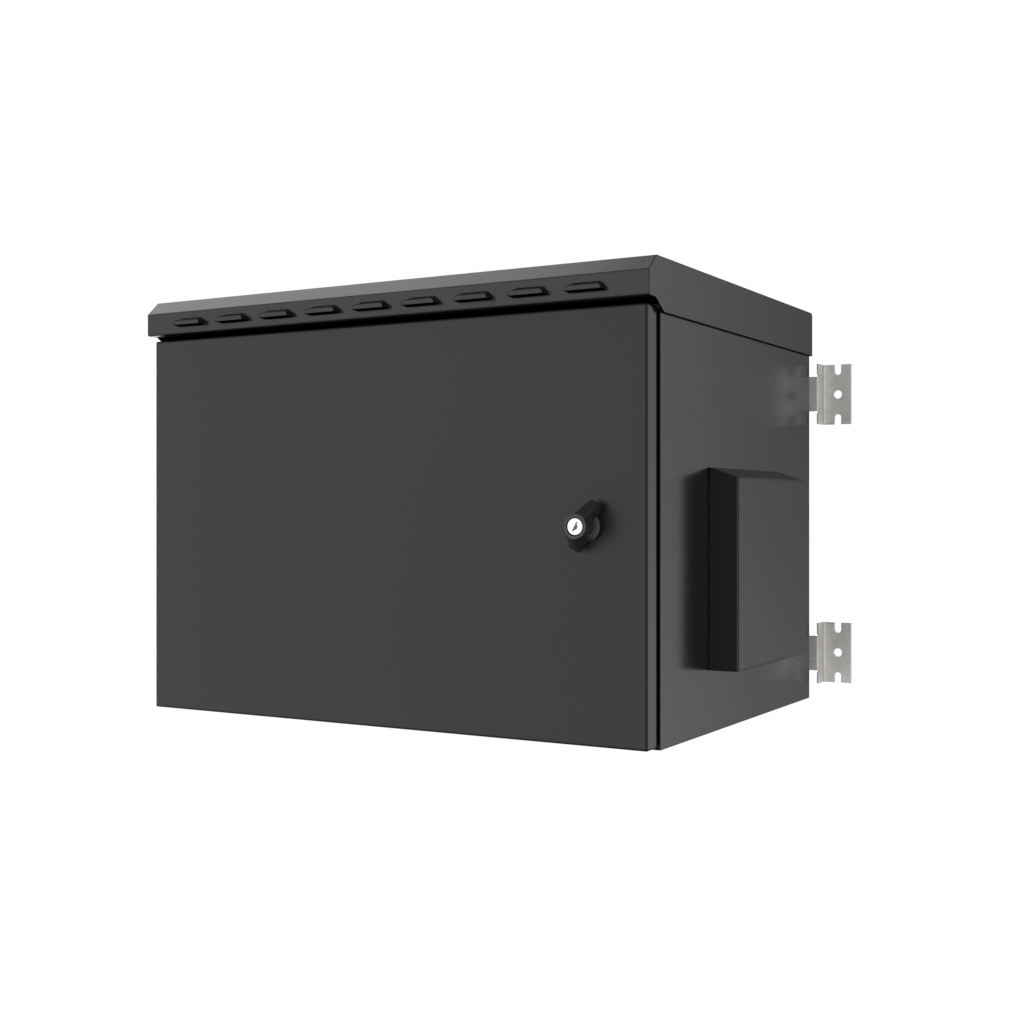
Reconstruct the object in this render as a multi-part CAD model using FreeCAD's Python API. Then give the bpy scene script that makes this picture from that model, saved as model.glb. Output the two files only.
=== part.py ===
import FreeCAD, Part
import math
import os

# Wall mount network cabinet, 7 units high, 19-inch rails inside, one hinged steel door.
# Millimetres. X points to the viewer's right, Y into the wall, Z up.
# The origin is the centre of the four wall bolts, on the wall's surface.

Vector = FreeCAD.Vector
X_AXIS = Vector(1, 0, 0)
Y_AXIS = Vector(0, 1, 0)
Z_AXIS = Vector(0, 0, 1)

# Overall sizes
WIDTH = 600.0
DEPTH = 450.0
HEIGHT = 450.0
ROOF_RISE = 42.0
STANDOFF = 22.0
SHEET = 1.5
OUTER_BEND = 1.2
FIT_GAP = 0.3
RUNNING_GAP = 0.05

# Door tray and the gutter behind it
DOOR_SHEET = 1.2
DOOR_SIDE_GAP = 2.0
DOOR_SWING_GAP = 0.5
DOOR_SKIRT = 21.0
DOOR_RETURN = 8.0
DOOR_BEND = 1.6
BODY_SETBACK = 24.0
GUTTER_SETBACK = 28.0
OPENING_SIDE_MARGIN = 35.0
OPENING_END_MARGIN = 32.0
FRAME_FLANGE = 16.0
SEAL_TIP_SETBACK = 9.0
GASKET_WIDTH = 11.0
STIFFENER_WIDTH = 40.0
STIFFENER_RISE = 10.0
STIFFENER_LIP = 12.0

# Pin hinges on the door's left edge
HINGE_INSET = 12.5
HINGE_SETBACK = 10.5
HINGE_END_MARGIN = 71.5
PIN_RADIUS = 3.0
PIN_HEAD_RADIUS = 4.5
PIN_HEAD = 2.0
KNUCKLE_RADIUS = 5.5
KNUCKLE_HEIGHT = 14.0
EAR_THICKNESS = 3.0
EAR_RADIUS = 6.0
HINGE_PLATE = 2.0
HINGE_NOTCH_MARGIN = 2.5
ARM_WEB = 3.0
ARM_FOOT_INNER = 17.0
ARM_FOOT_OUTER = 4.5

# Wing knob lock
LOCK_EDGE_DISTANCE = 58.0
LOCK_ABOVE_MIDDLE = 0.5
BEZEL_RADIUS = 14.2
BEZEL_FRONT_RADIUS = 14.0
BEZEL_RISE = 8.0
BEZEL_EDGE = 0.5
BARREL_RADIUS = 10.0
SHAFT_RADIUS = 7.0
KNOB_FRONT = 30.0
KNOB_HUB_RADIUS = 11.5
KNOB_NECK_RADIUS = 8.8
WING_RADIUS = 25.2
WING_WIDTH = 11.0
WING_EDGE = 1.3
WING_TIP_RISE = 9.0
WING_BACK_RISE = 3.0
WING_BACK_TAPER = 4.0
WING_ANGLE = 26.5
COLLAR_BORE_RADIUS = 8.5
COLLAR_BORE_DEPTH = 2.2
PLUG_RADIUS = 7.7
PLUG_LENGTH = 16.0
PLUG_INSET = 0.4
KEY_SLOT_LENGTH = 9.5
KEY_SLOT_WIDTH = 1.6
KEY_BULGE_RADIUS = 3.0
KEY_SLOT_DEPTH = 8.0
LOCK_NUT_FLATS = 27.0
LOCK_NUT_THICKNESS = 5.0
CAM_GAP = 2.2
CAM_THICKNESS = 3.0
CAM_REACH = 41.0
CAM_WIDTH = 16.0
CAM_SQUARE = 8.0
CAM_SCREW_HEAD = 3.2
CAM_SCREW_RADIUS = 2.5
CAM_SCREW_FLATS = 10.0

# Roof canopy with its row of pressed louvres
ROOF_SHEET = 1.2
ROOF_SIDE_OVERHANG = 3.0
ROOF_FRONT_OVERHANG = 7.0
ROOF_REAR_OVERHANG = 2.0
ROOF_FLANGE_FOOT = 3.5
ROOF_FLANGE_HEAD = 27.2
ROOF_SLOPE_RUN = 16.0
ROOF_SKIRT_DROP = 8.0
ROOF_NOTCH_NEAR = 14.4
ROOF_NOTCH_FAR = 33.2
ROOF_RETURN = 22.0
ROOF_FOOT_BEND = 2.5
ROOF_BEND = 1.8
ROOF_REAR_BEND = 4.5
LOUVRE_PITCH = 60.0
LOUVRE_COUNT = 9
LOUVRE_FOOT = 11.9
LOUVRE_RISE = 7.8
LOUVRE_LENGTH = 38.8
LOUVRE_CORNER = 6.5
LOUVRE_FACE_RISE = 5.0
LOUVRE_FACE_LENGTH = 37.3
LOUVRE_FACE_CORNER = 3.4
LOUVRE_PROUD = 8.2
LOUVRE_SHEET = 0.8
ROOF_SUPPORT_WIDTH = 30.0
ROOF_SUPPORT_FLANGE = 14.0
ROOF_SUPPORT_SPREAD = 180.0
ROOF_SUPPORT_END = 60.0
TOP_SLOT_START = 20.0
TOP_SLOT_LENGTH = 110.0
TOP_SLOT_WIDTH = 7.0
TOP_SLOT_PITCH = 16.0
TOP_SLOT_ROWS = 8

# Ventilation hoods on both sides
HOOD_SHEET = 1.0
HOOD_REACH = 31.5
HOOD_WIDTH = 201.0
HOOD_HEIGHT = 199.5
HOOD_FACE_HEIGHT = 189.2
HOOD_FROM_DOOR = 140.0
HOOD_ABOVE_BASE = 62.0
HOOD_SEAM = 1.0
HOOD_FLANGE = 12.0
HOOD_BEND = 2.0
HOOD_SCREW_END = 30.0

# Axial fan on the right wall
FAN_SIZE = 119.0
FAN_DEPTH = 38.0
FAN_BORE_RADIUS = 57.5
FAN_HOLE_SPACING = 104.8
FAN_CORNER_RADIUS = 5.0
FAN_HUB_RADIUS = 30.0
FAN_HUB_WALL = 2.0
FAN_TIP_GAP = 1.3
FAN_BASE_THICKNESS = 4.0
FAN_STRUT_WIDTH = 6.0
FAN_STRUTS = 4
FAN_BLADES = 7
FAN_BLADE_THICKNESS = 2.2
FAN_BLADE_CAMBER = 4.5
FAN_ROOT_CHORD = 26.0
FAN_TIP_CHORD = 36.0
FAN_ROOT_PITCH = 52.0
FAN_TIP_PITCH = 30.0
FAN_SHAFT_RADIUS = 3.0
FAN_TUBE_RADIUS = 7.0
FAN_END_GAP = 2.0
GUARD_WIRE = 1.8
GUARD_RINGS = (22.0, 38.0, 54.0)
GUARD_EYE_RADIUS = 4.0

# Filter on the left wall
FILTER_SIZE = 150.0
FILTER_DEPTH = 12.0
FILTER_RIM = 9.0
FILTER_WALL = 1.5
GRILLE_SLOTS = 9
GRILLE_SLOT_LENGTH = 112.0
GRILLE_SLOT_HEIGHT = 6.0
GRILLE_PITCH = 13.0
GRILLE_RIM = 3.5

# Rack rails, 19-inch pattern
RACK_UNITS = 7
RACK_UNIT = 44.45
RACK_HOLE_SPACING = 465.1
RACK_CLEAR_WIDTH = 451.0
RACK_SQUARE_HOLE = 9.5
RACK_HOLE_OFFSETS = (6.35, 22.225, 38.1)
RAIL_SHEET = 2.0
RAIL_FACE = 25.0
RAIL_LEG = 30.0
RAIL_END = 20.0
FRONT_RAIL_SETBACK = 72.0
REAR_RAIL_SETBACK = 402.0
SUPPORT_SHEET = 1.5
SUPPORT_HEIGHT = 24.0
SUPPORT_END_GAP = 10.0
SUPPORT_SLOT_LENGTH = 84.0
SUPPORT_SLOT_WIDTH = 6.4

# Wall brackets
BRACKET_SHEET = 2.0
BRACKET_WEB_OFFSET = 11.2
BRACKET_PLATE_WIDTH = 32.5
BRACKET_HEIGHT = 70.0
BRACKET_TAB_HEIGHT = 40.0
BRACKET_TAB_INSET = 38.0
BRACKET_END_MARGIN = 52.5
BRACKET_BEND = 2.2
WALL_HOLE_RADIUS = 5.0
WALL_HOLE_OFFSET = 28.0
WALL_NOTCH_WIDTH = 8.0
WALL_NOTCH_DEPTH = 12.0
RELIEF_WIDTH = 2.5
RELIEF_DEPTH = 2.0

# Cable entry in the floor
ENTRY_WIDTH = 260.0
ENTRY_DEPTH = 70.0
ENTRY_FROM_REAR = 75.0
ENTRY_RIM = 16.0
ENTRY_GASKET = 2.0
GROMMET_RADIUS = 17.0
GROMMET_SPREAD = 70.0
GROMMET_LIP = 3.0
GROMMET_WALL = 2.5
GROMMET_MEMBRANE = 1.2

# Fasteners
M6_RADIUS = 3.0
M6_HEAD = 4.0
M6_NUT_FLATS = 10.0
M6_NUT = 5.0
M4_RADIUS = 2.0
M4_HEAD = 2.4
M4_NUT_FLATS = 7.0
M4_NUT = 3.0
EARTH_STUD_LENGTH = 16.0
EARTH_FROM_SIDE = 90.0
EARTH_SETBACK = 130.0

# Places that follow from the sizes
HALF_WIDTH = WIDTH / 2
BODY_HEIGHT = HEIGHT - ROOF_RISE
BOTTOM = -BODY_HEIGHT / 2
TOP = BODY_HEIGHT / 2
REAR = -STANDOFF
FRONT = REAR - DEPTH
INNER_HALF = HALF_WIDTH - SHEET
OPENING_HALF = HALF_WIDTH - OPENING_SIDE_MARGIN
OPENING_BOTTOM = BOTTOM + OPENING_END_MARGIN
OPENING_TOP = TOP - OPENING_END_MARGIN
DOOR_HALF = HALF_WIDTH - DOOR_SIDE_GAP
DOOR_BOTTOM = BOTTOM + SHEET + DOOR_SWING_GAP
DOOR_TOP = TOP - SHEET - DOOR_SWING_GAP
HINGE_X = -DOOR_HALF + HINGE_INSET
HINGE_Y = FRONT + HINGE_SETBACK
HINGE_LEVELS = (DOOR_BOTTOM + HINGE_END_MARGIN, DOOR_TOP - HINGE_END_MARGIN)
LOCK_X = DOOR_HALF - LOCK_EDGE_DISTANCE
LOCK_Z = LOCK_ABOVE_MIDDLE
ROOF_FRONT = FRONT - ROOF_FRONT_OVERHANG
ROOF_HALF = HALF_WIDTH + ROOF_SIDE_OVERHANG
ROOF_REAR = REAR + ROOF_REAR_OVERHANG
ROOF_TOP = TOP + ROOF_RISE
HOOD_FRONT = FRONT + HOOD_FROM_DOOR
HOOD_REAR = HOOD_FRONT + HOOD_WIDTH
HOOD_BASE = BOTTOM + HOOD_ABOVE_BASE
VENT_Y = (HOOD_FRONT + HOOD_REAR) / 2
VENT_Z = HOOD_BASE + HOOD_HEIGHT / 2
FAN_FRONT_X = INNER_HALF - FAN_DEPTH
RAIL_INNER = RACK_CLEAR_WIDTH / 2
RAIL_OUTER = RAIL_INNER + RAIL_FACE
RAIL_LENGTH = RACK_UNITS * RACK_UNIT + 2 * RAIL_END
SUPPORT_LEVEL = RAIL_LENGTH / 2 - SUPPORT_HEIGHT / 2
RAIL_BOLT_SETBACK = RAIL_LEG * 0.6
BRACKET_LEVEL = BODY_HEIGHT / 2 - BRACKET_END_MARGIN
BRACKET_WEB = HALF_WIDTH + BRACKET_WEB_OFFSET
BRACKET_TAB_EDGE = HALF_WIDTH - BRACKET_TAB_INSET
BRACKET_BOLTS = (BRACKET_TAB_EDGE + 10.0, HALF_WIDTH - 12.0)
ENTRY_Y = REAR - ENTRY_FROM_REAR


def box(x0, x1, y0, y1, z0, z1):
    return Part.makeBox(x1 - x0, y1 - y0, z1 - z0, Vector(x0, y0, z0))


def cylinder(radius, length, start, axis):
    return Part.makeCylinder(radius, length, start, axis)


def ring(outer, inner, length, start, axis):
    """A plain tube from start along axis."""
    return cylinder(outer, length, start, axis).cut(cylinder(inner, length, start, axis))


def prism_x(points, x0, x1):
    """A prism along X over a polygon of (y, z) points."""
    wire = Part.makePolygon([Vector(x0, y, z) for y, z in points + points[:1]])
    return Part.Face(wire).extrude(Vector(x1 - x0, 0, 0))


def prism_y(points, y0, y1):
    """A prism along Y over a polygon of (x, z) points."""
    wire = Part.makePolygon([Vector(x, y0, z) for x, z in points + points[:1]])
    return Part.Face(wire).extrude(Vector(0, y1 - y0, 0))


def prism_z(points, z0, z1):
    """A prism along Z over a polygon of (x, y) points."""
    wire = Part.makePolygon([Vector(x, y, z0) for x, y in points + points[:1]])
    return Part.Face(wire).extrude(Vector(0, 0, z1 - z0))


def hexagon(flats, length, start, axis):
    """A hexagonal bar with the given width across its flats."""
    corner = flats / math.sqrt(3)
    side = Vector(axis.y, axis.z, axis.x)
    third = axis.cross(side)
    points = []
    for step in range(7):
        angle = math.radians(60 * step)
        points.append(start + side * (corner * math.cos(angle)) + third * (corner * math.sin(angle)))
    return Part.Face(Part.makePolygon(points)).extrude(axis * length)


def round_edges(shape, radius, wanted):
    """Fillets the edges whose two end points both pass the wanted test."""
    chosen = []
    for edge in shape.Edges:
        ends = [vertex.Point for vertex in edge.Vertexes]
        if len(ends) == 2 and wanted(ends[0]) and wanted(ends[1]):
            chosen.append(edge)
    return shape.makeFillet(radius, chosen)


def near(a, b):
    return abs(a - b) < 0.01


def mirrored(shape):
    """The same piece on the cabinet's other side."""
    return shape.mirror(Vector(0, 0, 0), X_AXIS)


def moved(shape, x, y, z):
    copy = shape.copy()
    copy.translate(Vector(x, y, z))
    return copy


def one_piece(shape):
    """Merges split faces and gives the single solid back."""
    clean = shape.removeSplitter()
    return clean.Solids[0] if len(clean.Solids) == 1 else clean


def bolt(length, seat, axis):
    """A hexagon-headed M6 bolt: its head stands behind seat, its shank runs along axis."""
    head = hexagon(M6_NUT_FLATS, M6_HEAD, seat - axis * M6_HEAD, axis)
    return head.fuse(cylinder(M6_RADIUS, length, seat, axis))


def screw(length, seat, axis):
    """A hexagon-headed M4 screw: its head stands behind seat, its shank runs along axis."""
    head = hexagon(M4_NUT_FLATS, M4_HEAD, seat - axis * M4_HEAD, axis)
    return head.fuse(cylinder(M4_RADIUS, length, seat, axis))


def nut(radius, flats, thickness, seat, axis):
    """An open hexagon nut that lies on seat and reaches along axis."""
    return hexagon(flats, thickness, seat, axis).cut(cylinder(radius, thickness, seat, axis))


def blind_nut(flats, thickness, seat, axis):
    """A closed hexagon nut, as used where no water may pass the thread: the shank ends at its seat."""
    return hexagon(flats, thickness, seat, axis)


def side_panel(vent):
    """Right-hand side sheet, cut by the vent shape that the side needs."""
    sheet = box(INNER_HALF, HALF_WIDTH, FRONT + BODY_SETBACK, REAR, BOTTOM, TOP)
    screws = [cylinder(M4_RADIUS, SHEET, Vector(INNER_HALF, y, z), X_AXIS) for y, z in hood_screw_places()]
    return sheet.cut(vent + screws)


def grille_slot(half_length, z):
    """One punched slot of a side grille, as a cutter."""
    half = GRILLE_SLOT_HEIGHT / 2
    return box(INNER_HALF, HALF_WIDTH, VENT_Y - half_length, VENT_Y + half_length, z - half, z + half)


def fan_opening():
    """Slots in a round field before the fan, and the fan's four screw holes, as cutters."""
    cutters = []
    reach = FAN_BORE_RADIUS - GRILLE_RIM
    for row in range(GRILLE_SLOTS):
        z = (row - (GRILLE_SLOTS - 1) / 2) * GRILLE_PITCH
        cutters.append(grille_slot(math.sqrt(reach ** 2 - z ** 2), VENT_Z + z))
    for y, z in fan_screw_places():
        cutters.append(cylinder(M4_RADIUS, SHEET, Vector(INNER_HALF, y, z), X_AXIS))
    return cutters


def filter_opening():
    """Rows of slots in front of the filter and its four screw holes, as cutters."""
    cutters = []
    for row in range(GRILLE_SLOTS):
        z = VENT_Z + (row - (GRILLE_SLOTS - 1) / 2) * GRILLE_PITCH
        cutters.append(grille_slot(GRILLE_SLOT_LENGTH / 2, z))
    for y, z in filter_screw_places():
        cutters.append(cylinder(M4_RADIUS, SHEET, Vector(INNER_HALF, y, z), X_AXIS))
    return cutters


def hood_screw_places():
    levels = (HOOD_BASE + HOOD_SCREW_END, HOOD_BASE + HOOD_FACE_HEIGHT - HOOD_SCREW_END)
    columns = (HOOD_FRONT + HOOD_SHEET + HOOD_FLANGE / 2, HOOD_REAR - HOOD_SHEET - HOOD_FLANGE / 2)
    return [(y, z) for y in columns for z in levels]


def fan_screw_places():
    half = FAN_HOLE_SPACING / 2
    return [(VENT_Y + a * half, VENT_Z + b * half) for a in (-1, 1) for b in (-1, 1)]


def filter_screw_places():
    reach = FILTER_SIZE / 2 + FILTER_RIM / 2
    return [(VENT_Y + a * reach, VENT_Z + b * reach) for a in (-1, 1) for b in (-1, 1)]


def bottom_panel():
    """Floor sheet with the cable entry cut out and the plate's screw holes."""
    sheet = box(-INNER_HALF, INNER_HALF, FRONT + BODY_SETBACK, REAR - SHEET, BOTTOM, BOTTOM + SHEET)
    entry = box(-ENTRY_WIDTH / 2, ENTRY_WIDTH / 2, ENTRY_Y - ENTRY_DEPTH / 2, ENTRY_Y + ENTRY_DEPTH / 2,
                BOTTOM, BOTTOM + SHEET)
    holes = [cylinder(M4_RADIUS, SHEET, Vector(x, y, BOTTOM), Z_AXIS) for x, y in entry_screw_places()]
    return sheet.cut([entry] + holes)


def entry_screw_places():
    reach_x = ENTRY_WIDTH / 2 + ENTRY_RIM / 2
    reach_y = ENTRY_DEPTH / 2 + ENTRY_RIM / 2
    return [(a * reach_x, ENTRY_Y + b * reach_y) for a in (-1, 1) for b in (-1, 1)]


def cable_entry_plate():
    """Cover plate over the cable entry with three round outlets."""
    half_x = ENTRY_WIDTH / 2 + ENTRY_RIM
    half_y = ENTRY_DEPTH / 2 + ENTRY_RIM
    low = BOTTOM + SHEET + ENTRY_GASKET
    plate = box(-half_x, half_x, ENTRY_Y - half_y, ENTRY_Y + half_y, low, low + SHEET)
    holes = [cylinder(M4_RADIUS, SHEET, Vector(x, y, low), Z_AXIS) for x, y in entry_screw_places()]
    outlets = [cylinder(GROMMET_RADIUS, SHEET, Vector(x, ENTRY_Y, low), Z_AXIS) for x in grommet_places()]
    return plate.cut(holes + outlets)


def grommet_places():
    return [GROMMET_SPREAD * column for column in (-1, 0, 1)]


def cable_entry_gasket():
    """Flat rubber frame between the floor and the cover plate."""
    half_x = ENTRY_WIDTH / 2 + ENTRY_RIM
    half_y = ENTRY_DEPTH / 2 + ENTRY_RIM
    low = BOTTOM + SHEET
    outer = box(-half_x, half_x, ENTRY_Y - half_y, ENTRY_Y + half_y, low, low + ENTRY_GASKET)
    inner = box(-ENTRY_WIDTH / 2, ENTRY_WIDTH / 2, ENTRY_Y - ENTRY_DEPTH / 2, ENTRY_Y + ENTRY_DEPTH / 2,
                low, low + ENTRY_GASKET)
    holes = [cylinder(M4_RADIUS, ENTRY_GASKET, Vector(x, y, low), Z_AXIS) for x, y in entry_screw_places()]
    return outer.cut([inner] + holes)


def entry_grommets():
    """Rubber membrane grommets, one turned profile set in each outlet."""
    low = BOTTOM + SHEET + ENTRY_GASKET
    outer = GROMMET_RADIUS + GROMMET_LIP
    profile = [
        (0, low - GROMMET_MEMBRANE),
        (outer, low - GROMMET_MEMBRANE),
        (outer, low),
        (GROMMET_RADIUS, low),
        (GROMMET_RADIUS, low + SHEET),
        (outer, low + SHEET),
        (outer - GROMMET_LIP / 2, low + SHEET + GROMMET_WALL),
        (GROMMET_RADIUS - GROMMET_WALL, low + SHEET + GROMMET_WALL),
        (GROMMET_RADIUS - GROMMET_WALL, low),
        (0, low),
    ]
    wire = Part.makePolygon([Vector(r, 0, z) for r, z in profile + profile[:1]])
    grommet = Part.Face(wire).revolve(Vector(0, 0, 0), Z_AXIS, 360)
    return Part.makeCompound([moved(grommet, x, ENTRY_Y, 0) for x in grommet_places()])


def cable_entry_screws():
    seat = BOTTOM + SHEET + ENTRY_GASKET + SHEET
    down = Z_AXIS * -1
    length = SHEET + ENTRY_GASKET + SHEET + 1.0
    return Part.makeCompound([screw(length, Vector(x, y, seat), down)
                              for x, y in entry_screw_places()])


def top_panel():
    """Ceiling sheet under the canopy, with two fields of air slots and the canopy's bolt holes."""
    sheet = box(-INNER_HALF, INNER_HALF, FRONT + BODY_SETBACK, REAR - SHEET, TOP - SHEET, TOP)
    middle_y = (FRONT + REAR) / 2
    cutters = []
    for side in (-1, 1):
        for row in range(TOP_SLOT_ROWS):
            y = middle_y + (row - (TOP_SLOT_ROWS - 1) / 2) * TOP_SLOT_PITCH
            near_end = side * TOP_SLOT_START
            far_end = side * (TOP_SLOT_START + TOP_SLOT_LENGTH)
            cutters.append(box(min(near_end, far_end), max(near_end, far_end),
                               y - TOP_SLOT_WIDTH / 2, y + TOP_SLOT_WIDTH / 2, TOP - SHEET, TOP))
    for x, y in roof_bolt_places():
        cutters.append(cylinder(M6_RADIUS, SHEET, Vector(x, y, TOP - SHEET), Z_AXIS))
    return sheet.cut(cutters)


def rear_panel():
    """Rear sheet with two holes behind each wall bracket."""
    sheet = box(-INNER_HALF, INNER_HALF, REAR - SHEET, REAR, BOTTOM, TOP)
    holes = [cylinder(M6_RADIUS, SHEET, Vector(x, REAR - SHEET, z), Y_AXIS) for x, z in bracket_bolt_places()]
    return sheet.cut(holes)


def front_frame():
    """Gutter ring behind the door: outer flange, floor and the lip that the gasket closes on."""
    gutter = FRONT + GUTTER_SETBACK
    inner_top = TOP - SHEET
    inner_bottom = BOTTOM + SHEET
    floor = box(-INNER_HALF, INNER_HALF, gutter, gutter + SHEET, inner_bottom, inner_top)
    flange = box(-INNER_HALF, INNER_HALF, gutter, gutter + FRAME_FLANGE, inner_bottom, inner_top)
    flange = flange.cut(box(-INNER_HALF + SHEET, INNER_HALF - SHEET, gutter, gutter + FRAME_FLANGE,
                            inner_bottom + SHEET, inner_top - SHEET))
    lip_front = FRONT + SEAL_TIP_SETBACK
    lip = box(-OPENING_HALF - SHEET, OPENING_HALF + SHEET, lip_front, gutter + SHEET,
              OPENING_BOTTOM - SHEET, OPENING_TOP + SHEET)
    opening = box(-OPENING_HALF, OPENING_HALF, lip_front, gutter + SHEET, OPENING_BOTTOM, OPENING_TOP)
    frame = floor.fuse([flange, lip]).cut(opening)
    return one_piece(frame)


def roof_profile(inset):
    """Side outline of the canopy as (y, z) points, drawn inset from its outer faces."""
    foot = TOP + ROOF_FLANGE_FOOT
    skirt = TOP - ROOF_SKIRT_DROP
    slope = math.atan2(ROOF_RISE - ROOF_FLANGE_HEAD, ROOF_SLOPE_RUN)
    front_turn = inset * math.tan((math.pi / 2 - slope) / 2)
    ridge_turn = inset * math.tan(slope / 2)
    return [
        (ROOF_FRONT + inset, foot + inset),
        (ROOF_FRONT + inset, TOP + ROOF_FLANGE_HEAD - front_turn),
        (ROOF_FRONT + ROOF_SLOPE_RUN + ridge_turn, ROOF_TOP - inset),
        (ROOF_REAR - inset, ROOF_TOP - inset),
        (ROOF_REAR - inset, skirt),
        (ROOF_FRONT + ROOF_NOTCH_FAR, skirt),
        (ROOF_FRONT + ROOF_NOTCH_NEAR, foot),
    ]


def roof_canopy():
    """Folded roof cap, open below, with a row of pressed louvres on its front flange."""
    foot = TOP + ROOF_FLANGE_FOOT
    cap = prism_x(roof_profile(0.0), -ROOF_HALF, ROOF_HALF)
    cap = round_edges(cap, ROOF_REAR_BEND, lambda p: near(p.y, ROOF_REAR) and near(p.z, ROOF_TOP))
    cap = round_edges(cap, ROOF_FOOT_BEND, lambda p: near(p.y, ROOF_FRONT) and near(p.z, foot))
    brow = TOP + ROOF_FLANGE_HEAD
    cap = round_edges(cap, ROOF_BEND, lambda p: near(p.y, ROOF_FRONT) and near(p.z, brow))
    ridge = ROOF_FRONT + ROOF_SLOPE_RUN
    cap = round_edges(cap, ROOF_BEND, lambda p: near(p.y, ridge) and near(p.z, ROOF_TOP))

    inner = ROOF_SHEET
    cavity = prism_x(roof_profile(inner), -ROOF_HALF + inner, ROOF_HALF - inner)
    below = box(-ROOF_HALF + inner, ROOF_HALF - inner, ROOF_FRONT + ROOF_RETURN, ROOF_REAR - inner,
                TOP - ROOF_SKIRT_DROP, TOP + ROOF_RISE / 2)
    behind_flange = box(-ROOF_HALF + inner, ROOF_HALF - inner, ROOF_FRONT + inner, ROOF_FRONT + ROOF_RETURN,
                        foot + inner, TOP + ROOF_RISE / 2)
    cap = cap.cut([cavity, below, behind_flange])

    pitch_start = -(LOUVRE_COUNT - 1) / 2 * LOUVRE_PITCH
    bumps = []
    hollows = []
    for column in range(LOUVRE_COUNT):
        x = pitch_start + column * LOUVRE_PITCH
        bumps.append(louvre_form(x, 0.0))
        hollows.append(louvre_form(x, LOUVRE_SHEET))
    return cap.fuse(bumps).cut(hollows).removeSplitter()


def louvre_outline(x, y, foot, half, rise, corner):
    """A wire with a straight foot, two rounded upper corners and a flat head."""
    bend = math.sqrt(0.5)
    foot_right = Vector(x + half, y, foot)
    head_right = Vector(x + half - corner, y, foot + rise)
    head_left = Vector(x - half + corner, y, foot + rise)
    foot_left = Vector(x - half, y, foot)
    right = Vector(x + half - corner * (1 - bend), y, foot + rise * bend)
    left = Vector(x - half + corner * (1 - bend), y, foot + rise * bend)
    return Part.Wire([
        Part.makeLine(foot_left, foot_right),
        Part.Arc(foot_right, right, head_right).toShape(),
        Part.makeLine(head_right, head_left),
        Part.Arc(head_left, left, foot_left).toShape(),
    ])


def louvre_form(x, inset):
    """One louvre as a loft from the flange to its forward face, drawn inset for its hollow."""
    foot = TOP + LOUVRE_FOOT - inset * 0.4
    root_y = ROOF_FRONT + ROOF_SHEET * (0.5 if inset == 0 else 1.0)
    face_y = ROOF_FRONT - LOUVRE_PROUD + inset
    lower = inset * 0.6
    root = louvre_outline(x, root_y, foot, LOUVRE_LENGTH / 2 - inset, LOUVRE_RISE - lower, LOUVRE_CORNER)
    face = louvre_outline(x, face_y, foot, LOUVRE_FACE_LENGTH / 2 - inset, LOUVRE_FACE_RISE - lower,
                          LOUVRE_FACE_CORNER)
    return Part.makeLoft([root, face], True, True)


def roof_support_middle():
    return (FRONT + REAR) / 2


def roof_bolt_places():
    reach = (DEPTH - 2 * ROOF_SUPPORT_END) / 2 - 20.0
    offset = ROOF_SUPPORT_WIDTH / 2 + ROOF_SUPPORT_FLANGE / 2
    return [(a * (ROOF_SUPPORT_SPREAD + offset), roof_support_middle() + b * reach)
            for a in (-1, 1) for b in (-1, 1)]


def roof_supports():
    """Two hat sections welded under the canopy, which stand on the ceiling sheet."""
    hats = []
    head = ROOF_TOP - ROOF_SHEET
    half = ROOF_SUPPORT_WIDTH / 2
    reach = half + ROOF_SUPPORT_FLANGE
    start = FRONT + ROOF_SUPPORT_END
    finish = REAR - ROOF_SUPPORT_END
    for side in (-1, 1):
        x = side * ROOF_SUPPORT_SPREAD
        outline = [
            (x - reach, TOP),
            (x - half + SHEET, TOP),
            (x - half + SHEET, head - SHEET),
            (x + half - SHEET, head - SHEET),
            (x + half - SHEET, TOP),
            (x + reach, TOP),
            (x + reach, TOP + SHEET),
            (x + half, TOP + SHEET),
            (x + half, head),
            (x - half, head),
            (x - half, TOP + SHEET),
            (x - reach, TOP + SHEET),
        ]
        hats.append(prism_y(outline, start, finish))
    holes = [cylinder(M6_RADIUS, SHEET, Vector(x, y, TOP), Z_AXIS) for x, y in roof_bolt_places()]
    return Part.makeCompound([hat.cut(holes) for hat in hats])


def roof_bolts():
    """Bolts put up from inside the cabinet, through the ceiling sheet and the hat sections' feet."""
    length = 2 * SHEET
    bolts = []
    for x, y in roof_bolt_places():
        bolts.append(bolt(length, Vector(x, y, TOP - SHEET), Z_AXIS))
    return Part.makeCompound(bolts)


def roof_nuts():
    return Part.makeCompound([blind_nut(M6_NUT_FLATS, M6_NUT, Vector(x, y, TOP + SHEET), Z_AXIS)
                              for x, y in roof_bolt_places()])


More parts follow.
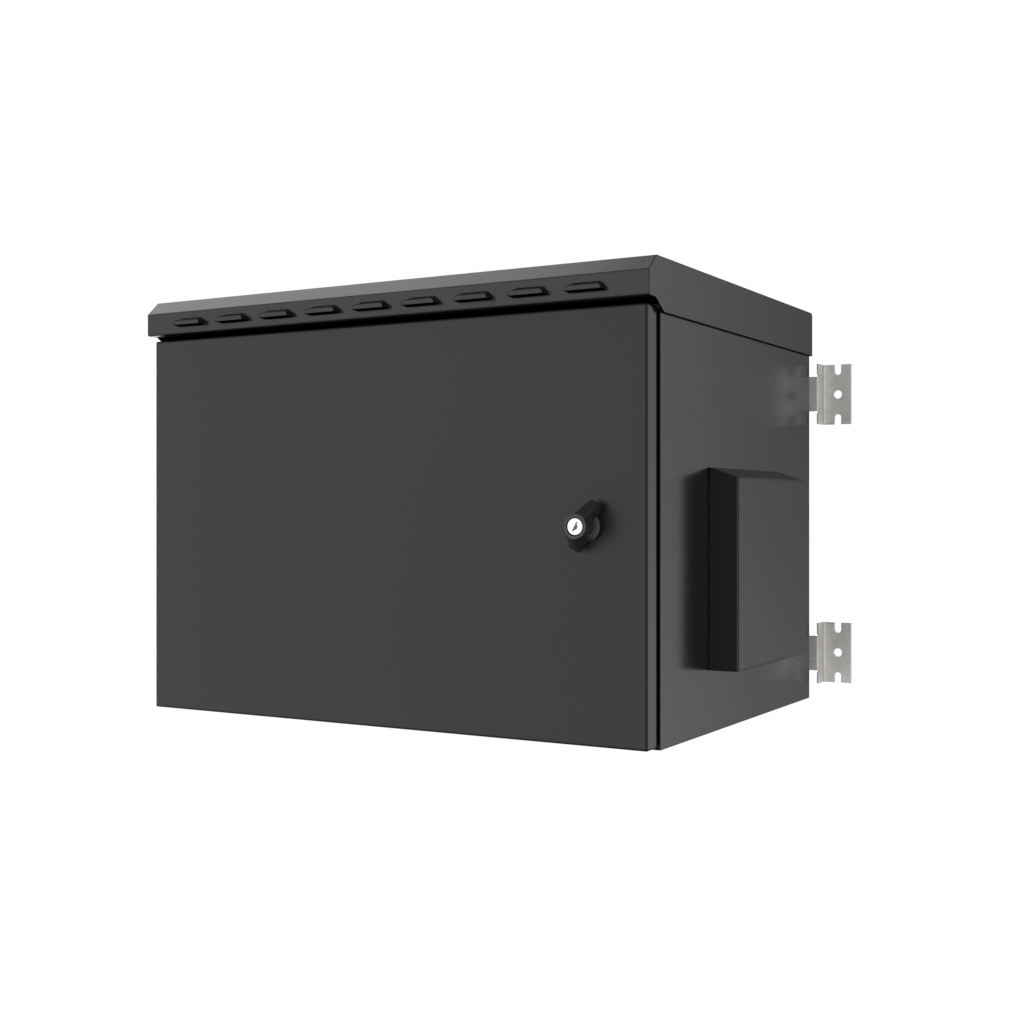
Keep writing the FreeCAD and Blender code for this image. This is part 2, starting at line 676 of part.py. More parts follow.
def vent_hood():
    """Right-hand rain hood: sloping head, open foot, inner flanges for its screws."""
    outer_x = HALF_WIDTH + HOOD_REACH
    start_x = HALF_WIDTH + HOOD_SEAM
    face_top = HOOD_BASE + HOOD_FACE_HEIGHT
    head = HOOD_BASE + HOOD_HEIGHT
    outline = [(start_x, HOOD_BASE), (outer_x, HOOD_BASE), (outer_x, face_top), (start_x, head)]
    shell = prism_y(outline, HOOD_FRONT, HOOD_REAR)
    shell = round_edges(shell, HOOD_BEND, lambda p: near(p.x, outer_x) and p.z < face_top + 0.01)
    fall = HOOD_SHEET * 1.05
    hollow = prism_y([(start_x, HOOD_BASE), (outer_x - HOOD_SHEET, HOOD_BASE),
                      (outer_x - HOOD_SHEET, face_top - fall), (start_x, head - fall)],
                     HOOD_FRONT + HOOD_SHEET, HOOD_REAR - HOOD_SHEET)
    shell = shell.cut(hollow)
    flanges = []
    for y0 in (HOOD_FRONT + HOOD_SHEET / 2, HOOD_REAR - HOOD_SHEET / 2 - HOOD_FLANGE):
        flanges.append(box(HALF_WIDTH, HALF_WIDTH + HOOD_SHEET, y0, y0 + HOOD_FLANGE,
                           HOOD_BASE, face_top))
    holes = [cylinder(M4_RADIUS, HOOD_SHEET, Vector(HALF_WIDTH, y, z), X_AXIS)
             for y, z in hood_screw_places()]
    return one_piece(shell.fuse(flanges).cut(holes))


def hood_screws():
    """Screws of both hoods, put through from inside the cabinet."""
    screws = []
    length = SHEET + HOOD_SHEET
    for y, z in hood_screw_places():
        right = screw(length, Vector(INNER_HALF, y, z), X_AXIS)
        screws.append(right)
        screws.append(mirrored(right))
    return Part.makeCompound(screws)


def hood_nuts():
    nuts = []
    for y, z in hood_screw_places():
        right = blind_nut(M4_NUT_FLATS, M4_NUT, Vector(HALF_WIDTH + HOOD_SHEET, y, z), X_AXIS)
        nuts.append(right)
        nuts.append(mirrored(right))
    return Part.makeCompound(nuts)


def fan_housing():
    """Square fan frame with a round duct, four struts, the motor base and its bearing tube."""
    half = FAN_SIZE / 2
    back = FAN_FRONT_X + FAN_BASE_THICKNESS
    frame = box(FAN_FRONT_X, INNER_HALF, VENT_Y - half, VENT_Y + half, VENT_Z - half, VENT_Z + half)
    frame = frame.makeFillet(FAN_CORNER_RADIUS, [e for e in frame.Edges if near(e.Length, FAN_DEPTH)])
    waist_length = FAN_DEPTH - 2 * FAN_BASE_THICKNESS
    pockets = box(back, back + waist_length, VENT_Y - FAN_SIZE, VENT_Y + FAN_SIZE,
                  VENT_Z - FAN_SIZE, VENT_Z + FAN_SIZE)
    pockets = pockets.cut(cylinder(half, waist_length, Vector(back, VENT_Y, VENT_Z), X_AXIS))
    bore = cylinder(FAN_BORE_RADIUS, FAN_DEPTH, Vector(FAN_FRONT_X, VENT_Y, VENT_Z), X_AXIS)
    holes = [cylinder(M4_RADIUS, FAN_DEPTH, Vector(FAN_FRONT_X, y, z), X_AXIS) for y, z in fan_screw_places()]
    frame = frame.cut([pockets, bore] + holes)

    start = Vector(FAN_FRONT_X, VENT_Y, VENT_Z)
    pieces = [cylinder(FAN_HUB_RADIUS, FAN_BASE_THICKNESS, start, X_AXIS)]
    for step in range(FAN_STRUTS):
        strut = box(FAN_FRONT_X, back, VENT_Y, VENT_Y + FAN_BORE_RADIUS + 0.8,
                    VENT_Z - FAN_STRUT_WIDTH / 2, VENT_Z + FAN_STRUT_WIDTH / 2)
        strut.rotate(start, X_AXIS, 30 + step * 360 / FAN_STRUTS)
        pieces.append(strut)
    tube_length = FAN_DEPTH - 2 * FAN_END_GAP - FAN_HUB_WALL - FAN_END_GAP
    pieces.append(cylinder(FAN_TUBE_RADIUS, tube_length, start, X_AXIS))
    bearing = cylinder(FAN_SHAFT_RADIUS + RUNNING_GAP, tube_length, start + X_AXIS * FAN_END_GAP, X_AXIS)
    return one_piece(frame.fuse(pieces).cut(bearing))


def fan_blade():
    """One twisted blade, lofted from a steep root section to a flatter tip section."""
    sections = []
    ends = ((FAN_HUB_RADIUS - FAN_HUB_WALL, FAN_ROOT_CHORD, FAN_ROOT_PITCH),
            (FAN_BORE_RADIUS, FAN_TIP_CHORD, FAN_TIP_PITCH))
    for radius, chord, pitch in ends:
        turn = math.radians(pitch)
        middle = Vector(0, radius, 0)
        along = Vector(math.sin(turn), 0, math.cos(turn)) * (chord / 2)
        normal = Vector(math.cos(turn), 0, -math.sin(turn))
        lead = middle - along
        trail = middle + along
        upper = middle + normal * (FAN_BLADE_CAMBER + FAN_BLADE_THICKNESS / 2)
        lower = middle + normal * (FAN_BLADE_CAMBER - FAN_BLADE_THICKNESS / 2)
        edges = [Part.Arc(lead, upper, trail).toShape(), Part.Arc(trail, lower, lead).toShape()]
        sections.append(Part.Wire(edges))
    return Part.makeLoft(sections, True, True)


def fan_rotor():
    """Hub cup with its blades, and the shaft that runs in the housing's bearing tube."""
    length = FAN_DEPTH - FAN_BASE_THICKNESS - 2 * FAN_END_GAP
    sweep = cylinder(FAN_BORE_RADIUS - FAN_TIP_GAP, length, Vector(0, 0, 0), X_AXIS)
    hub = cylinder(FAN_HUB_RADIUS, length, Vector(0, 0, 0), X_AXIS)
    hub = round_edges_at_end(hub, FAN_HUB_WALL, length)
    blades = []
    for step in range(FAN_BLADES):
        blade = moved(fan_blade(), length / 2, 0, 0)
        blade.rotate(Vector(0, 0, 0), X_AXIS, step * 360 / FAN_BLADES)
        blades.append(blade.common(sweep))
    cup = cylinder(FAN_HUB_RADIUS - FAN_HUB_WALL, length - FAN_HUB_WALL, Vector(0, 0, 0), X_AXIS)
    shaft_start = -FAN_BASE_THICKNESS + FAN_END_GAP * 0.5
    shaft = cylinder(FAN_SHAFT_RADIUS, length - shaft_start, Vector(shaft_start, 0, 0), X_AXIS)
    rotor = hub.fuse(blades).cut(cup).fuse(shaft)
    return moved(one_piece(rotor), FAN_FRONT_X + FAN_BASE_THICKNESS + FAN_END_GAP, VENT_Y, VENT_Z)


def round_edges_at_end(shape, radius, x):
    """Rounds the circle at the end of a part that was turned about X."""
    circles = [e for e in shape.Edges if len(e.Vertexes) == 1 and near(e.CenterOfMass.x, x)]
    return shape.makeFillet(radius, circles)


def fan_guard():
    """Finger guard on the fan's inner face: rings on two crossed bars that end in screw eyes."""
    guard_x = FAN_FRONT_X - GUARD_WIRE
    start = Vector(guard_x, VENT_Y, VENT_Z)
    pieces = [ring(r + GUARD_WIRE / 2, r - GUARD_WIRE / 2, GUARD_WIRE, start, X_AXIS) for r in GUARD_RINGS]
    reach = FAN_HOLE_SPACING / 2 * math.sqrt(2)
    for turn in (45, 135):
        bar = box(guard_x, FAN_FRONT_X, VENT_Y - reach, VENT_Y + reach,
                  VENT_Z - GUARD_WIRE / 2, VENT_Z + GUARD_WIRE / 2)
        bar.rotate(start, X_AXIS, turn)
        pieces.append(bar)
    for y, z in fan_screw_places():
        pieces.append(cylinder(GUARD_EYE_RADIUS, GUARD_WIRE, Vector(guard_x, y, z), X_AXIS))
    holes = [cylinder(M4_RADIUS, GUARD_WIRE, Vector(guard_x, y, z), X_AXIS) for y, z in fan_screw_places()]
    return one_piece(pieces[0].fuse(pieces[1:]).cut(holes))


def fan_screws():
    """Screws put in from under the hood, through the wall, the fan and its guard."""
    length = SHEET + FAN_DEPTH + GUARD_WIRE
    inwards = X_AXIS * -1
    return Part.makeCompound([screw(length, Vector(HALF_WIDTH, y, z), inwards)
                              for y, z in fan_screw_places()])


def fan_nuts():
    inwards = X_AXIS * -1
    return Part.makeCompound([blind_nut(M4_NUT_FLATS, M4_NUT, Vector(FAN_FRONT_X - GUARD_WIRE, y, z), inwards)
                              for y, z in fan_screw_places()])


def filter_holder():
    """Shallow tray that holds the filter mat against the left wall, with a cross in its window."""
    half = FILTER_SIZE / 2
    rim = half + FILTER_RIM
    wall = half + FILTER_WALL
    back = INNER_HALF - FILTER_DEPTH - FILTER_WALL
    flange = square_plate(rim, INNER_HALF - FILTER_WALL, INNER_HALF)
    tray = square_plate(wall, back, INNER_HALF)
    pocket = square_plate(half, back + FILTER_WALL, INNER_HALF)
    window = square_plate(half - FILTER_RIM, back, back + FILTER_WALL)
    bar_half = FILTER_RIM / 4
    bars = box(back, back + FILTER_WALL, VENT_Y - bar_half, VENT_Y + bar_half, VENT_Z - half, VENT_Z + half)
    bars = bars.fuse(box(back, back + FILTER_WALL, VENT_Y - half, VENT_Y + half,
                         VENT_Z - bar_half, VENT_Z + bar_half))
    holes = [cylinder(M4_RADIUS, FILTER_WALL, Vector(INNER_HALF - FILTER_WALL, y, z), X_AXIS)
             for y, z in filter_screw_places()]
    holder = flange.fuse(tray).cut([pocket, window.cut(bars)] + holes)
    return mirrored(one_piece(holder))


def square_plate(half, x0, x1):
    return box(x0, x1, VENT_Y - half, VENT_Y + half, VENT_Z - half, VENT_Z + half)


def filter_mat():
    return mirrored(square_plate(FILTER_SIZE / 2, INNER_HALF - FILTER_DEPTH, INNER_HALF))


def filter_screws():
    length = FILTER_WALL + SHEET
    return Part.makeCompound([mirrored(screw(length, Vector(INNER_HALF - FILTER_WALL, y, z), X_AXIS))
                              for y, z in filter_screw_places()])


def filter_nuts():
    return Part.makeCompound([mirrored(blind_nut(M4_NUT_FLATS, M4_NUT, Vector(HALF_WIDTH, y, z), X_AXIS))
                              for y, z in filter_screw_places()])


def rail(face_y, leg_y):
    """Right-hand rack rail: a punched face at face_y and a leg that reaches to leg_y."""
    direction = 1 if leg_y > face_y else -1
    face_back = face_y + direction * RAIL_SHEET
    low = -RAIL_LENGTH / 2
    face = box(RAIL_INNER, RAIL_OUTER, min(face_y, face_back), max(face_y, face_back), low, -low)
    leg = box(RAIL_OUTER - RAIL_SHEET, RAIL_OUTER, min(face_y, leg_y), max(face_y, leg_y), low, -low)
    half = RACK_SQUARE_HOLE / 2
    x = RACK_HOLE_SPACING / 2
    cutters = []
    for unit in range(RACK_UNITS):
        for offset in RACK_HOLE_OFFSETS:
            z = (unit - RACK_UNITS / 2) * RACK_UNIT + offset
            cutters.append(box(x - half, x + half, min(face_y, face_back), max(face_y, face_back),
                               z - half, z + half))
    bolt_y = face_y + direction * RAIL_BOLT_SETBACK
    for z in (-SUPPORT_LEVEL, SUPPORT_LEVEL):
        cutters.append(cylinder(M6_RADIUS, RAIL_SHEET, Vector(RAIL_OUTER - RAIL_SHEET, bolt_y, z), X_AXIS))
    shape = face.fuse(leg)
    shape = round_edges(one_piece(shape), OUTER_BEND, lambda p: near(p.x, RAIL_OUTER) and near(p.y, face_y))
    return one_piece(shape.cut(cutters))


def front_rail():
    face = FRONT + FRONT_RAIL_SETBACK
    return rail(face, face + RAIL_LEG)


def rear_rail():
    face = FRONT + REAR_RAIL_SETBACK
    return rail(face, face - RAIL_LEG)


def rail_bolt_rows():
    return (FRONT + FRONT_RAIL_SETBACK + RAIL_BOLT_SETBACK, FRONT + REAR_RAIL_SETBACK - RAIL_BOLT_SETBACK)


def rail_support(upper):
    """Right-hand C section on the side wall, slotted so that the rails can be moved back and forth."""
    start = FRONT + GUTTER_SETBACK + FRAME_FLANGE + SUPPORT_END_GAP
    finish = REAR - SHEET - SUPPORT_END_GAP
    low = SUPPORT_LEVEL - SUPPORT_HEIGHT / 2
    high = SUPPORT_LEVEL + SUPPORT_HEIGHT / 2
    inner = RAIL_OUTER + SUPPORT_SHEET
    outline = [
        (RAIL_OUTER, low),
        (inner, low),
        (inner, high - SUPPORT_SHEET),
        (INNER_HALF - SUPPORT_SHEET, high - SUPPORT_SHEET),
        (INNER_HALF - SUPPORT_SHEET, low),
        (INNER_HALF, low),
        (INNER_HALF, high),
        (RAIL_OUTER, high),
    ]
    section = prism_y(outline, start, finish)
    section = round_edges(section, OUTER_BEND, lambda p: near(p.x, RAIL_OUTER) and near(p.z, high))
    slots = []
    front_row, rear_row = rail_bolt_rows()
    shift = SUPPORT_SLOT_LENGTH / 4
    for y in (front_row + shift, rear_row - shift):
        slots.append(box(RAIL_OUTER, inner, y - SUPPORT_SLOT_LENGTH / 2, y + SUPPORT_SLOT_LENGTH / 2,
                         SUPPORT_LEVEL - SUPPORT_SLOT_WIDTH / 2, SUPPORT_LEVEL + SUPPORT_SLOT_WIDTH / 2))
    section = section.cut(slots)
    return section if upper else section.mirror(Vector(0, 0, 0), Z_AXIS)


def rail_bolts():
    bolts = []
    length = RAIL_SHEET + SUPPORT_SHEET
    for y in rail_bolt_rows():
        for z in (-SUPPORT_LEVEL, SUPPORT_LEVEL):
            seat = Vector(RAIL_OUTER - RAIL_SHEET, y, z)
            right = bolt(length, seat, X_AXIS)
            bolts.append(right)
            bolts.append(mirrored(right))
    return Part.makeCompound(bolts)


def rail_nuts():
    nuts = []
    for y in rail_bolt_rows():
        for z in (-SUPPORT_LEVEL, SUPPORT_LEVEL):
            right = blind_nut(M6_NUT_FLATS, M6_NUT, Vector(RAIL_OUTER + SUPPORT_SHEET, y, z), X_AXIS)
            nuts.append(right)
            nuts.append(mirrored(right))
    return Part.makeCompound(nuts)


def wall_bracket(level):
    """Right-hand Z bracket: tab on the rear sheet, web beside the cabinet, plate on the wall."""
    web_in = BRACKET_WEB - BRACKET_SHEET
    half = BRACKET_HEIGHT / 2
    tab_half = BRACKET_TAB_HEIGHT / 2
    plate_edge = BRACKET_WEB + BRACKET_PLATE_WIDTH
    tab = box(BRACKET_TAB_EDGE, BRACKET_WEB, REAR, REAR + BRACKET_SHEET, level - tab_half, level + tab_half)
    web = box(web_in, BRACKET_WEB, REAR, 0, level - half, level + half)
    plate = box(web_in, plate_edge, -BRACKET_SHEET, 0, level - half, level + half)
    shape = web.fuse([tab, plate]).removeSplitter()
    shape = round_edges(shape, BRACKET_BEND, lambda p: near(p.x, web_in) and near(p.y, 0))
    shape = round_edges(shape, BRACKET_BEND / 2,
                        lambda p: near(p.x, BRACKET_WEB) and near(p.y, -BRACKET_SHEET))

    hole_x = HALF_WIDTH + WALL_HOLE_OFFSET
    depth_start = Vector(hole_x, -BRACKET_SHEET, level)
    cutters = [cylinder(WALL_HOLE_RADIUS, BRACKET_SHEET, depth_start, Y_AXIS)]
    for side in (-1, 1):
        edge = level + side * half
        bottom = edge - side * (WALL_NOTCH_DEPTH - WALL_NOTCH_WIDTH / 2)
        cutters.append(cylinder(WALL_NOTCH_WIDTH / 2, BRACKET_SHEET,
                                Vector(hole_x, -BRACKET_SHEET, bottom), Y_AXIS))
        cutters.append(box(hole_x - WALL_NOTCH_WIDTH / 2, hole_x + WALL_NOTCH_WIDTH / 2, -BRACKET_SHEET, 0,
                           min(edge, bottom), max(edge, bottom)))
        relief = level + side * (tab_half + RELIEF_WIDTH / 2)
        cutters.append(box(web_in, BRACKET_WEB, REAR, REAR + BRACKET_SHEET + RELIEF_DEPTH,
                           relief - RELIEF_WIDTH / 2, relief + RELIEF_WIDTH / 2))
    for x in BRACKET_BOLTS:
        cutters.append(cylinder(M6_RADIUS, BRACKET_SHEET, Vector(x, REAR, level), Y_AXIS))
    shape = shape.cut(cutters)
    shape = round_edges(shape, BRACKET_BEND, lambda p: near(p.x, BRACKET_WEB) and near(p.y, REAR)
                        and abs(p.z - level) < tab_half + 0.01)
    return one_piece(shape)


def bracket_bolt_places():
    return [(a * x, b * BRACKET_LEVEL) for a in (-1, 1) for b in (-1, 1) for x in BRACKET_BOLTS]


def bracket_bolts():
    forwards = Y_AXIS * -1
    length = BRACKET_SHEET + SHEET
    return Part.makeCompound([bolt(length, Vector(x, REAR + BRACKET_SHEET, z), forwards)
                              for x, z in bracket_bolt_places()])


def bracket_nuts():
    forwards = Y_AXIS * -1
    return Part.makeCompound([blind_nut(M6_NUT_FLATS, M6_NUT, Vector(x, REAR - SHEET, z), forwards)
                              for x, z in bracket_bolt_places()])


def earth_stud():
    place = Vector(INNER_HALF - EARTH_FROM_SIDE, FRONT + EARTH_SETBACK, BOTTOM + SHEET)
    return cylinder(M6_RADIUS, EARTH_STUD_LENGTH, place, Z_AXIS)


def earth_nut():
    place = Vector(INNER_HALF - EARTH_FROM_SIDE, FRONT + EARTH_SETBACK, BOTTOM + SHEET)
    return nut(M6_RADIUS, M6_NUT_FLATS, M6_NUT, place, Z_AXIS)


def hinge_arm(level):
    """Fixed hinge half: a knuckle, its web and a foot on the gutter floor."""
    gutter = FRONT + GUTTER_SETBACK
    low = level - KNUCKLE_HEIGHT / 2
    high = level + KNUCKLE_HEIGHT / 2
    knuckle = cylinder(KNUCKLE_RADIUS, KNUCKLE_HEIGHT, Vector(HINGE_X, HINGE_Y, low), Z_AXIS)
    foot_start = HINGE_X + ARM_FOOT_OUTER
    foot_finish = HINGE_X + ARM_FOOT_INNER
    foot = box(foot_start, foot_finish, gutter - HINGE_PLATE, gutter,
               level - KNUCKLE_HEIGHT, level + KNUCKLE_HEIGHT)
    web = prism_z([
        (HINGE_X, HINGE_Y - ARM_WEB / 2),
        (HINGE_X + KNUCKLE_RADIUS * 0.8, HINGE_Y),
        (foot_start + ARM_WEB + HINGE_PLATE, gutter - HINGE_PLATE / 2),
        (foot_start + HINGE_PLATE / 2, gutter - HINGE_PLATE / 2),
        (HINGE_X - ARM_WEB / 4, HINGE_Y + ARM_WEB / 2),
    ], low, high)
    bore = cylinder(PIN_RADIUS + RUNNING_GAP, KNUCKLE_HEIGHT, Vector(HINGE_X, HINGE_Y, low), Z_AXIS)
    return one_piece(knuckle.fuse([foot, web]).cut(bore))


def hinge_bracket(level):
    """Moving hinge half: a plate on the inside of the door with an ear on each side of the knuckle."""
    inside = FRONT + DOOR_SHEET
    clear = KNUCKLE_HEIGHT / 2 + FIT_GAP
    reach = clear + EAR_THICKNESS
    half_plate = reach + EAR_RADIUS
    plate = box(HINGE_X - HINGE_INSET + DOOR_SHEET, HINGE_X + HINGE_INSET, inside, inside + HINGE_PLATE,
                level - half_plate, level + half_plate)
    ears = []
    for low in (level - reach, level + clear):
        ear = box(HINGE_X - EAR_RADIUS, HINGE_X + EAR_RADIUS, inside, HINGE_Y, low, low + EAR_THICKNESS)
        ear = ear.fuse(cylinder(EAR_RADIUS, EAR_THICKNESS, Vector(HINGE_X, HINGE_Y, low), Z_AXIS))
        ears.append(ear)
    bore = cylinder(PIN_RADIUS, 2 * reach, Vector(HINGE_X, HINGE_Y, level - reach), Z_AXIS)
    return one_piece(plate.fuse(ears).cut(bore))


def hinge_pins():
    reach = KNUCKLE_HEIGHT / 2 + FIT_GAP + EAR_THICKNESS
    pins = []
    for level in HINGE_LEVELS:
        pin = cylinder(PIN_RADIUS, 2 * reach, Vector(HINGE_X, HINGE_Y, level - reach), Z_AXIS)
        head = cylinder(PIN_HEAD_RADIUS, PIN_HEAD, Vector(HINGE_X, HINGE_Y, level + reach), Z_AXIS)
        pins.append(one_piece(pin.fuse(head)))
    return Part.makeCompound(pins)


def door_panel():
    """Folded door tray with returned edges, hinge notches in its left skirt and the lock hole."""
    back = FRONT + DOOR_SKIRT
    tray = box(-DOOR_HALF, DOOR_HALF, FRONT, back, DOOR_BOTTOM, DOOR_TOP)
    tray = tray.makeFillet(DOOR_BEND, [e for e in tray.Edges if not near(e.CenterOfMass.y, back)])
    inner = DOOR_SHEET
    cavity = box(-DOOR_HALF + inner, DOOR_HALF - inner, FRONT + inner, back - inner,
                 DOOR_BOTTOM + inner, DOOR_TOP - inner)
    mouth = box(-DOOR_HALF + inner, DOOR_HALF - DOOR_RETURN, back - inner, back,
                DOOR_BOTTOM + DOOR_RETURN, DOOR_TOP - DOOR_RETURN)
    cutters = [cavity, mouth]
    notch_half = KNUCKLE_HEIGHT / 2 + HINGE_NOTCH_MARGIN
    for level in HINGE_LEVELS:
        cutters.append(box(-DOOR_HALF, -DOOR_HALF + inner, FRONT + DOOR_BEND, back,
                           level - notch_half, level + notch_half))
    cutters.append(cylinder(BARREL_RADIUS, inner, Vector(LOCK_X, FRONT, LOCK_Z), Y_AXIS))
    return one_piece(tray.cut(cutters))


def door_stiffener():
    """Upright hat section on the middle of the door's inside."""
    inside = FRONT + DOOR_SHEET
    half = STIFFENER_WIDTH / 2
    inner = DOOR_SHEET
    reach = half + STIFFENER_LIP
    outline = [
        (-reach, inside),
        (-half + inner, inside),
        (-half + inner, inside + STIFFENER_RISE - inner),
        (half - inner, inside + STIFFENER_RISE - inner),
        (half - inner, inside),
        (reach, inside),
        (reach, inside + inner),
        (half, inside + inner),
        (half, inside + STIFFENER_RISE),
        (-half, inside + STIFFENER_RISE),
        (-half, inside + inner),
        (-reach, inside + inner),
    ]
    margin = GASKET_WIDTH + STIFFENER_LIP
    return prism_z(outline, OPENING_BOTTOM + margin, OPENING_TOP - margin)


def door_gasket():
    """Foamed seal on the inside of the door, in line with the frame's lip."""
    middle = SHEET / 2
    outer = middle + GASKET_WIDTH / 2
    inner = middle - GASKET_WIDTH / 2
    front = FRONT + DOOR_SHEET
    back = FRONT + SEAL_TIP_SETBACK - FIT_GAP
    seal = box(-OPENING_HALF - outer, OPENING_HALF + outer, front, back,
               OPENING_BOTTOM - outer, OPENING_TOP + outer)
    hole = box(-OPENING_HALF - inner, OPENING_HALF + inner, front, back,
               OPENING_BOTTOM - inner, OPENING_TOP + inner)
    return seal.cut(hole)


def lock_axis_point(setback):
    """A point on the lock's axis at a distance behind the door's face."""
    return Vector(LOCK_X, FRONT + setback, LOCK_Z)


def cam_setback():
    return GUTTER_SETBACK + SHEET + CAM_GAP


def turned_about_lock(profile):
    """A solid of revolution about the lock axis from (radius, setback) points."""
    points = [Vector(LOCK_X + radius, FRONT + setback, LOCK_Z) for radius, setback in profile]
    return Part.Face(Part.makePolygon(points + points[:1])).revolve(lock_axis_point(0), Y_AXIS, 360)


def lock_housing():
    """Bezel on the door's face and the barrel behind it, bored for the knob's shaft."""
    bezel = Part.makeCone(BEZEL_FRONT_RADIUS, BEZEL_RADIUS, BEZEL_RISE, lock_axis_point(-BEZEL_RISE), Y_AXIS)
    bezel = bezel.makeFillet(BEZEL_EDGE, [e for e in bezel.Edges if len(e.Vertexes) == 1
                                          and near(e.CenterOfMass.y, FRONT - BEZEL_RISE)])
    barrel_length = cam_setback() - FIT_GAP
    barrel = cylinder(BARREL_RADIUS, barrel_length, lock_axis_point(0), Y_AXIS)
    bore = cylinder(SHAFT_RADIUS + RUNNING_GAP, BEZEL_RISE + barrel_length,
                    lock_axis_point(-BEZEL_RISE), Y_AXIS)
    return one_piece(bezel.fuse(barrel).cut(bore))


def lock_nut():
    return nut(BARREL_RADIUS, LOCK_NUT_FLATS, LOCK_NUT_THICKNESS, lock_axis_point(DOOR_SHEET), Y_AXIS)


def wing_knob():
    """Knob with two opposed wings that slope from the collar, its shaft and the square for the cam."""
    back = -BEZEL_RISE - FIT_GAP
    shoulder = BEZEL_RADIUS + FIT_GAP
    envelope = turned_about_lock([
        (0, -KNOB_FRONT),
        (KNOB_HUB_RADIUS, -KNOB_FRONT),
        (WING_RADIUS - 0.5, -WING_TIP_RISE - 1.5),
        (WING_RADIUS, -WING_TIP_RISE),
        (WING_RADIUS - WING_BACK_TAPER, -WING_BACK_RISE),
        (shoulder, -WING_BACK_RISE),
        (shoulder, back),
        (0, back),
    ])
    slab = box(LOCK_X - WING_WIDTH / 2, LOCK_X + WING_WIDTH / 2, FRONT - KNOB_FRONT, FRONT,
               LOCK_Z - WING_RADIUS, LOCK_Z + WING_RADIUS)
    slab = round_edges(slab, WING_EDGE, lambda p: near(p.y, FRONT - KNOB_FRONT))
    wings = envelope.common(slab)
    hub = Part.makeCone(KNOB_HUB_RADIUS, KNOB_NECK_RADIUS, KNOB_FRONT + back,
                        lock_axis_point(-KNOB_FRONT), Y_AXIS)
    hub = hub.makeFillet(0.8, [e for e in hub.Edges if len(e.Vertexes) == 1
                               and near(e.CenterOfMass.y, FRONT - KNOB_FRONT)])
    shaft = cylinder(SHAFT_RADIUS, cam_setback() - back, lock_axis_point(back), Y_AXIS)
    half = CAM_SQUARE / 2
    square = box(LOCK_X - half, LOCK_X + half, FRONT + cam_setback(), FRONT + cam_setback() + CAM_THICKNESS,
                 LOCK_Z - half, LOCK_Z + half)
    collar_bore = cylinder(COLLAR_BORE_RADIUS, COLLAR_BORE_DEPTH, lock_axis_point(-KNOB_FRONT), Y_AXIS)
    plug_bore = cylinder(PLUG_RADIUS + RUNNING_GAP, PLUG_LENGTH, lock_axis_point(-KNOB_FRONT), Y_AXIS)
    screw_hole = cylinder(CAM_SCREW_RADIUS, CAM_THICKNESS * 3,
                          lock_axis_point(cam_setback() - CAM_THICKNESS * 2), Y_AXIS)
    knob = hub.fuse(wings)
    knob.rotate(lock_axis_point(0), Y_AXIS, WING_ANGLE)
    return one_piece(knob.fuse([shaft, square]).cut([collar_bore, plug_bore, screw_hole]))


def key_plug():
    """Round plug in the knob's collar with its key slot and a half-round bulge on one side."""
    start = -KNOB_FRONT + PLUG_INSET
    plug = cylinder(PLUG_RADIUS, PLUG_LENGTH - PLUG_INSET - FIT_GAP, lock_axis_point(start), Y_AXIS)
    plug = plug.makeFillet(0.5, [e for e in plug.Edges if len(e.Vertexes) == 1
                                 and near(e.CenterOfMass.y, FRONT + start)])
    half = KEY_SLOT_WIDTH / 2
    slot = box(LOCK_X - half, LOCK_X + half, FRONT + start, FRONT + start + KEY_SLOT_DEPTH,
               LOCK_Z - KEY_SLOT_LENGTH / 2, LOCK_Z + KEY_SLOT_LENGTH / 2)
    bulge = cylinder(KEY_BULGE_RADIUS, KEY_SLOT_DEPTH, lock_axis_point(start), Y_AXIS)
    bulge = bulge.common(box(LOCK_X, LOCK_X + PLUG_RADIUS, FRONT + start, FRONT + start + KEY_SLOT_DEPTH,
                             LOCK_Z - PLUG_RADIUS, LOCK_Z + PLUG_RADIUS))
    plug = plug.cut([slot, bulge])
    plug.rotate(lock_axis_point(0), Y_AXIS, WING_ANGLE)
    return one_piece(plug)


def lock_cam():
    """Flat cam on the knob's square, hanging down while the door is free to open."""
    start = cam_setback()
    half = CAM_WIDTH / 2
    reach = CAM_REACH - half
    hub = cylinder(half + 1, CAM_THICKNESS, lock_axis_point(start), Y_AXIS)
    arm = box(LOCK_X - half, LOCK_X + half, FRONT + start, FRONT + start + CAM_THICKNESS,
              LOCK_Z - reach, LOCK_Z)
    tip = cylinder(half, CAM_THICKNESS, lock_axis_point(start) - Z_AXIS * reach, Y_AXIS)
    square = CAM_SQUARE / 2
    hole = box(LOCK_X - square, LOCK_X + square, FRONT + start, FRONT + start + CAM_THICKNESS,
               LOCK_Z - square, LOCK_Z + square)
    return one_piece(hub.fuse([arm, tip]).cut(hole))


def cam_screw():
    seat = lock_axis_point(cam_setback() + CAM_THICKNESS)
    length = CAM_THICKNESS * 2.5
    forwards = Y_AXIS * -1
    head = hexagon(CAM_SCREW_FLATS, CAM_SCREW_HEAD, seat - forwards * CAM_SCREW_HEAD, forwards)
    return head.fuse(cylinder(CAM_SCREW_RADIUS, length, seat, forwards))


